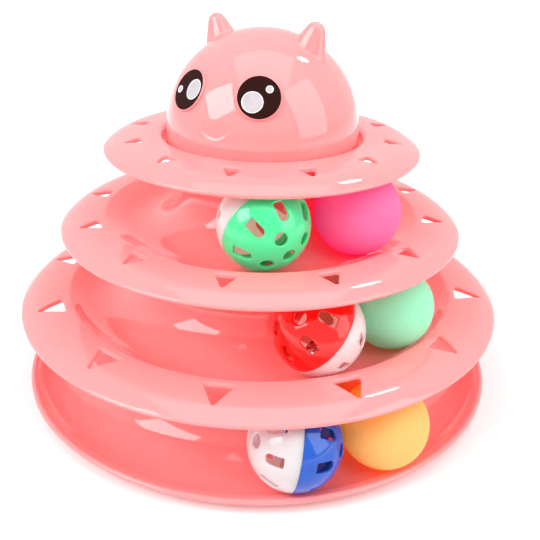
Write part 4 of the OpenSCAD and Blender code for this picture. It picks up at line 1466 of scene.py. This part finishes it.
class TOY_OT_bells(bpy.types.Operator):
    """Build the jingle bells, and give the pellets their finish"""

    bl_idname = "track_toy.bells"
    bl_label = "Bells"

    def execute(self, context):
        steel = finish_of(context.scene, "toy_steel")
        for name in CAGE_BALLS:
            low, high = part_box(name + "_bell")
            piece = self.bell(name + "_bell_shell", (low + high) / 2, (high.x - low.x) / 2, steel)
            settle(piece, name + "_bell_unit", "bell_steel", name + "_bell")
            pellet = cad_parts[name + "_pellet"]
            pellet.data.materials.clear()
            pellet.data.materials.append(steel)
        return {"FINISHED"}

    def bell(self, name, centre, r, steel):
        """Two pressed cups with a folded seam, slit on top between two round holes."""
        fold, fold_h = r * BELL_FOLD_SHARE, r * BELL_FOLD_H_SHARE
        cup = arc(over, (0, 0), r * BELL_CUP_SHARE, BELL_POLE_TURN,
                  RIGHT_ANGLE - BELL_FOLD_TURN, steps=21)
        cup = [(0, cup[0][1])] + cup
        section = (
            cup + [(r - fold, fold_h), (r, fold_h / 2), (r, -fold_h / 2), (r - fold, -fold_h)]
            + [(a, -z) for a, z in cup[::-1]])
        turns = np.linspace(0, FULL_TURN, BELL_COLUMNS, endpoint=False)
        skin = Skin()
        skin.lathe(section, turns)
        piece = skin.build(name, [steel])
        across, up = (share * r * (1 - BELL_WALL_SHARE) for share in BELL_CORE_SHARES)
        core = [(across * math.sin(a), -up * math.cos(a))
                for a in np.linspace(BELL_POLE_TURN, math.pi - BELL_POLE_TURN, BELL_CORE_ROWS)]
        cutter = Skin()
        cutter.lathe([(0, core[0][1])] + core + [(0, core[-1][1])], turns)
        half = r / 2
        cutter.prism([(-half, 0), (half, 0), (half, 2 * r), (-half, 2 * r)],
                     lambda p, shift: np.array((p[0], shift, p[1])), r * BELL_SLIT_SHARE)
        foot, corner = (share * r for share in BELL_HOLE_SHARES)
        for side in (-half, half):
            stack_disc(cutter, (side, 0), r * BELL_SLIT_SHARE, foot, 2 * r, corner,
                       BELL_HOLE_COLUMNS)
        slit = cutter.build(name + "_slit", [steel])
        change = piece.modifiers.new("slit", "BOOLEAN")
        change.object = slit
        change.operation = "DIFFERENCE"
        change.solver = "EXACT"
        change.use_self = True
        graph = bpy.context.evaluated_depsgraph_get()
        cut = bpy.data.meshes.new_from_object(piece.evaluated_get(graph))
        piece.modifiers.clear()
        piece.data = cut
        bpy.data.objects.remove(slit)
        cut.transform(Matrix.Translation(centre))
        cut.set_sharp_from_angle(angle=SHARP_ANGLE)
        return piece


FOAM_DETAIL = 6
FOAM_GRAIN = 0.035 * MM
FOAM_SWELL = 0.12 * MM
FOAM_WAVES = 12
FOAM_WAVE_RATE = 4
FOAM_SEED = 7


class TOY_OT_foam_balls(bpy.types.Operator):
    """Build the foam balls with their ground, slightly uneven skin"""

    bl_idname = "track_toy.foam_balls"
    bl_label = "Foam balls"

    def execute(self, context):
        scene = context.scene
        plan = Plan(scene)
        draw = np.random.default_rng(FOAM_SEED)
        for name, tier in FOAM_BALLS.items():
            centre = plan.resting(tier, getattr(plan.balls, name + "_angle"), plan.foam_r)
            piece = self.ball(name + "_foam_ball", plan.foam_r, draw)
            piece.data.transform(Matrix.Translation(centre))
            piece.data.materials.append(finish_of(scene, f"toy_{name}_foam"))
            settle(piece, name + "_foam", "foam_" + name, name + "_ball")
        return {"FINISHED"}

    def ball(self, name, r, draw):
        """A sphere that is out of round by a little and has a fine grain."""
        work = bmesh.new()
        bmesh.ops.create_icosphere(work, subdivisions=FOAM_DETAIL, radius=1)
        points = np.array([v.co for v in work.verts])
        waves = draw.normal(size=(FOAM_WAVES, 3)) * FOAM_WAVE_RATE
        phases = draw.uniform(0, FULL_TURN, FOAM_WAVES)
        swell = np.cos(points @ waves.T + phases).mean(axis=1)
        grain = draw.normal(size=len(points))
        reach = r + FOAM_SWELL * (swell - 1) + FOAM_GRAIN * (np.clip(grain, -1, 1) - 1)
        for vert, place in zip(work.verts, points * reach[:, None]):
            vert.co = place
        mesh = bpy.data.meshes.new(name)
        work.to_mesh(mesh)
        work.free()
        mesh.shade_smooth()
        piece = bpy.data.objects.new(name, mesh)
        bpy.context.scene.collection.objects.link(piece)
        return piece


# Stage

CAMERA_TURN = math.radians(29.4)
CAMERA_PLACE = Vector((0, -344.11, 176.59)) * MM
CAMERA_LIFT = 45.5 * MM
CAMERA_RIGHT = Vector((0.99972, -0.00418, 0.02329))
CAMERA_UP = Vector((-0.01910, 0.43813, 0.89871))
CAMERA_REACH = (0.01, 50)
SENSOR_MM = 36
LENS_MM = 47.695
LAMP_AIM = Vector((0, 0, 80)) * MM
LAMPS = (
    dict(name="right_lamp", azimuth=0, elevation=28, distance=1.3, size=(0.92, 1.3)),
    dict(name="left_lamp", azimuth=-121, elevation=34, distance=1.3, size=(0.7, 0.7), roll=45),
    dict(name="top_lamp", azimuth=-60, elevation=82, distance=1.4, size=(1.3, 1.3)),
    dict(name="back_lamp", azimuth=61.5, elevation=57, distance=0.6, size=(0.06, 0.1),
         shape="ELLIPSE"),
)
FLOOR_HALF = 3.0
FLOOR_CLEAR = 180 * MM
FLOOR_WHITE = 420 * MM
FLOOR_NEAR_GLOW = 0.15


def add_lamp(watts, name, azimuth, elevation, distance, size, roll=0, shape="RECTANGLE"):
    """A soft lamp that faces the tower, turned about its own axis by roll. Angles in degrees."""
    data = bpy.data.lights.new(name, "AREA")
    data.shape = shape
    data.size, data.size_y = size
    data.energy = watts
    lamp = bpy.data.objects.new(name, data)
    bpy.context.scene.collection.objects.link(lamp)
    a, e = math.radians(azimuth), math.radians(elevation)
    back = Vector((math.cos(a) * math.cos(e), math.sin(a) * math.cos(e), math.sin(e)))
    lamp.location = LAMP_AIM + back * distance
    lamp.rotation_mode = "QUATERNION"
    lamp.rotation_quaternion = (
        (-back).to_track_quat("-Z", "Y") @ Quaternion((0, 0, 1), math.radians(roll)))


def seen_share(tree):
    """1 for rays from the camera, a gloss or glass, and 0 for rays that light the object."""
    path = tree.nodes.new("ShaderNodeLightPath")
    seen = path.outputs["Is Camera Ray"]
    for kind in ("Is Glossy Ray", "Is Transmission Ray"):
        more = tree.nodes.new("ShaderNodeMath")
        more.operation = "MAXIMUM"
        tree.links.new(seen, more.inputs[0])
        tree.links.new(path.outputs[kind], more.inputs[1])
        seen = more.outputs[0]
    return seen


class TOY_OT_stage(bpy.types.Operator):
    """Add the floor, the even light, the lamps and the camera"""

    bl_idname = "track_toy.stage"
    bl_label = "Stage"

    def execute(self, context):
        s = context.scene.stage_settings
        self.floor(s)
        self.world(context.scene, s)
        for lamp in LAMPS:
            add_lamp(getattr(s, lamp["name"]), **lamp)
        self.camera(context.scene)
        return {"FINISHED"}

    def floor(self, s):
        """A wide floor that shows white to the eye and keeps the shadow."""
        mesh = bpy.data.meshes.new("floor")
        corners = ((-1, -1), (1, -1), (1, 1), (-1, 1))
        mesh.from_pydata(
            [(x * FLOOR_HALF, y * FLOOR_HALF, 0) for x, y in corners], [], [(0, 1, 2, 3)])
        floor = bpy.data.objects.new("floor", mesh)
        floor.location.z = CAD_BOX[0].z
        bpy.context.scene.collection.objects.link(floor)
        finish = Finish("stage_floor")
        finish.set({
            "Base Color": (*s.floor, 1), "Roughness": 0.6, "Specular IOR Level": 0.2,
            "Emission Color": (1, 1, 1, 1)})
        away = finish.add("VectorMath")
        away.operation = "LENGTH"
        finish.link(finish.place, away, 0)
        fade = finish.add("MapRange", **{
            "From Min": FLOOR_CLEAR, "From Max": FLOOR_WHITE,
            "To Min": FLOOR_NEAR_GLOW, "To Max": 1.0})
        finish.link(away.outputs["Value"], fade, "Value")
        glow = finish.add("Math")
        glow.operation = "MULTIPLY"
        finish.link(seen_share(finish.tree), glow, 0)
        finish.link(fade.outputs["Result"], glow, 1)
        finish.link(glow.outputs[0], finish.shader, "Emission Strength")
        mesh.materials.append(finish.material)

    def world(self, scene, s):
        """Even light, and plain white where the camera looks past the floor."""
        world = bpy.data.worlds.new("studio")
        scene.world = world
        world.use_nodes = True
        tree = world.node_tree
        background = tree.nodes["Background"]
        background.inputs["Color"].default_value = (1, 1, 1, 1)
        strength = tree.nodes.new("ShaderNodeMix")
        tree.links.new(seen_share(tree), strength.inputs["Factor"])
        strength.inputs["A"].default_value = s.world
        strength.inputs["B"].default_value = 1.0
        tree.links.new(strength.outputs["Result"], background.inputs["Strength"])

    def camera(self, scene):
        """The camera of the picture."""
        turn = Matrix.Rotation(CAMERA_TURN, 3, "Z")
        place = turn @ CAMERA_PLACE + Vector((0, 0, CAMERA_LIFT))
        right, up = turn @ CAMERA_RIGHT, turn @ CAMERA_UP
        data = bpy.data.cameras.new("camera")
        data.sensor_width = SENSOR_MM
        data.lens = LENS_MM
        data.clip_start, data.clip_end = CAMERA_REACH
        camera = bpy.data.objects.new("camera", data)
        scene.collection.objects.link(camera)
        pose = Matrix((right, up, right.cross(up))).transposed().to_4x4()
        pose.translation = place
        camera.matrix_world = pose
        scene.camera = camera
        scene.view_settings.view_transform = "Standard"


class TOY_PT_panel(bpy.types.Panel):
    """Lists the operators in the order that main runs them"""

    bl_idname = "TOY_PT_panel"
    bl_label = "Track toy"
    bl_space_type = "VIEW_3D"
    bl_region_type = "UI"
    bl_category = "Track toy"

    def draw(self, context):
        for operator in OPERATORS:
            self.layout.operator(operator.bl_idname)


GROUPS = {
    "ball_sizes": BallSizes,
    "tower_sizes": TowerSizes,
    "head_sizes": HeadSizes,
    "toy_colours": ToyColours,
    "stage_settings": StageSettings,
}
OPERATORS = (
    TOY_OT_tray, TOY_OT_tiers, TOY_OT_top_flange, TOY_OT_pads, TOY_OT_head, TOY_OT_eyes,
    TOY_OT_cage_balls, TOY_OT_bells, TOY_OT_foam_balls, TOY_OT_stage)


def register():
    for group in GROUPS.values():
        bpy.utils.register_class(group)
    for name, group in GROUPS.items():
        setattr(bpy.types.Scene, name, bpy.props.PointerProperty(type=group))
    for kind in (*OPERATORS, TOY_PT_panel):
        bpy.utils.register_class(kind)


def unregister():
    for kind in (TOY_PT_panel, *reversed(OPERATORS)):
        bpy.utils.unregister_class(kind)
    for name in GROUPS:
        delattr(bpy.types.Scene, name)
    for group in reversed(GROUPS.values()):
        bpy.utils.unregister_class(group)


def main():
    register()
    bpy.ops.track_toy.tray()
    bpy.ops.track_toy.tiers()
    bpy.ops.track_toy.top_flange()
    bpy.ops.track_toy.pads()
    bpy.ops.track_toy.head()
    bpy.ops.track_toy.eyes()
    bpy.ops.track_toy.cage_balls()
    bpy.ops.track_toy.bells()
    bpy.ops.track_toy.foam_balls()
    bpy.ops.track_toy.stage()


if __name__ == "__main__":
    main()
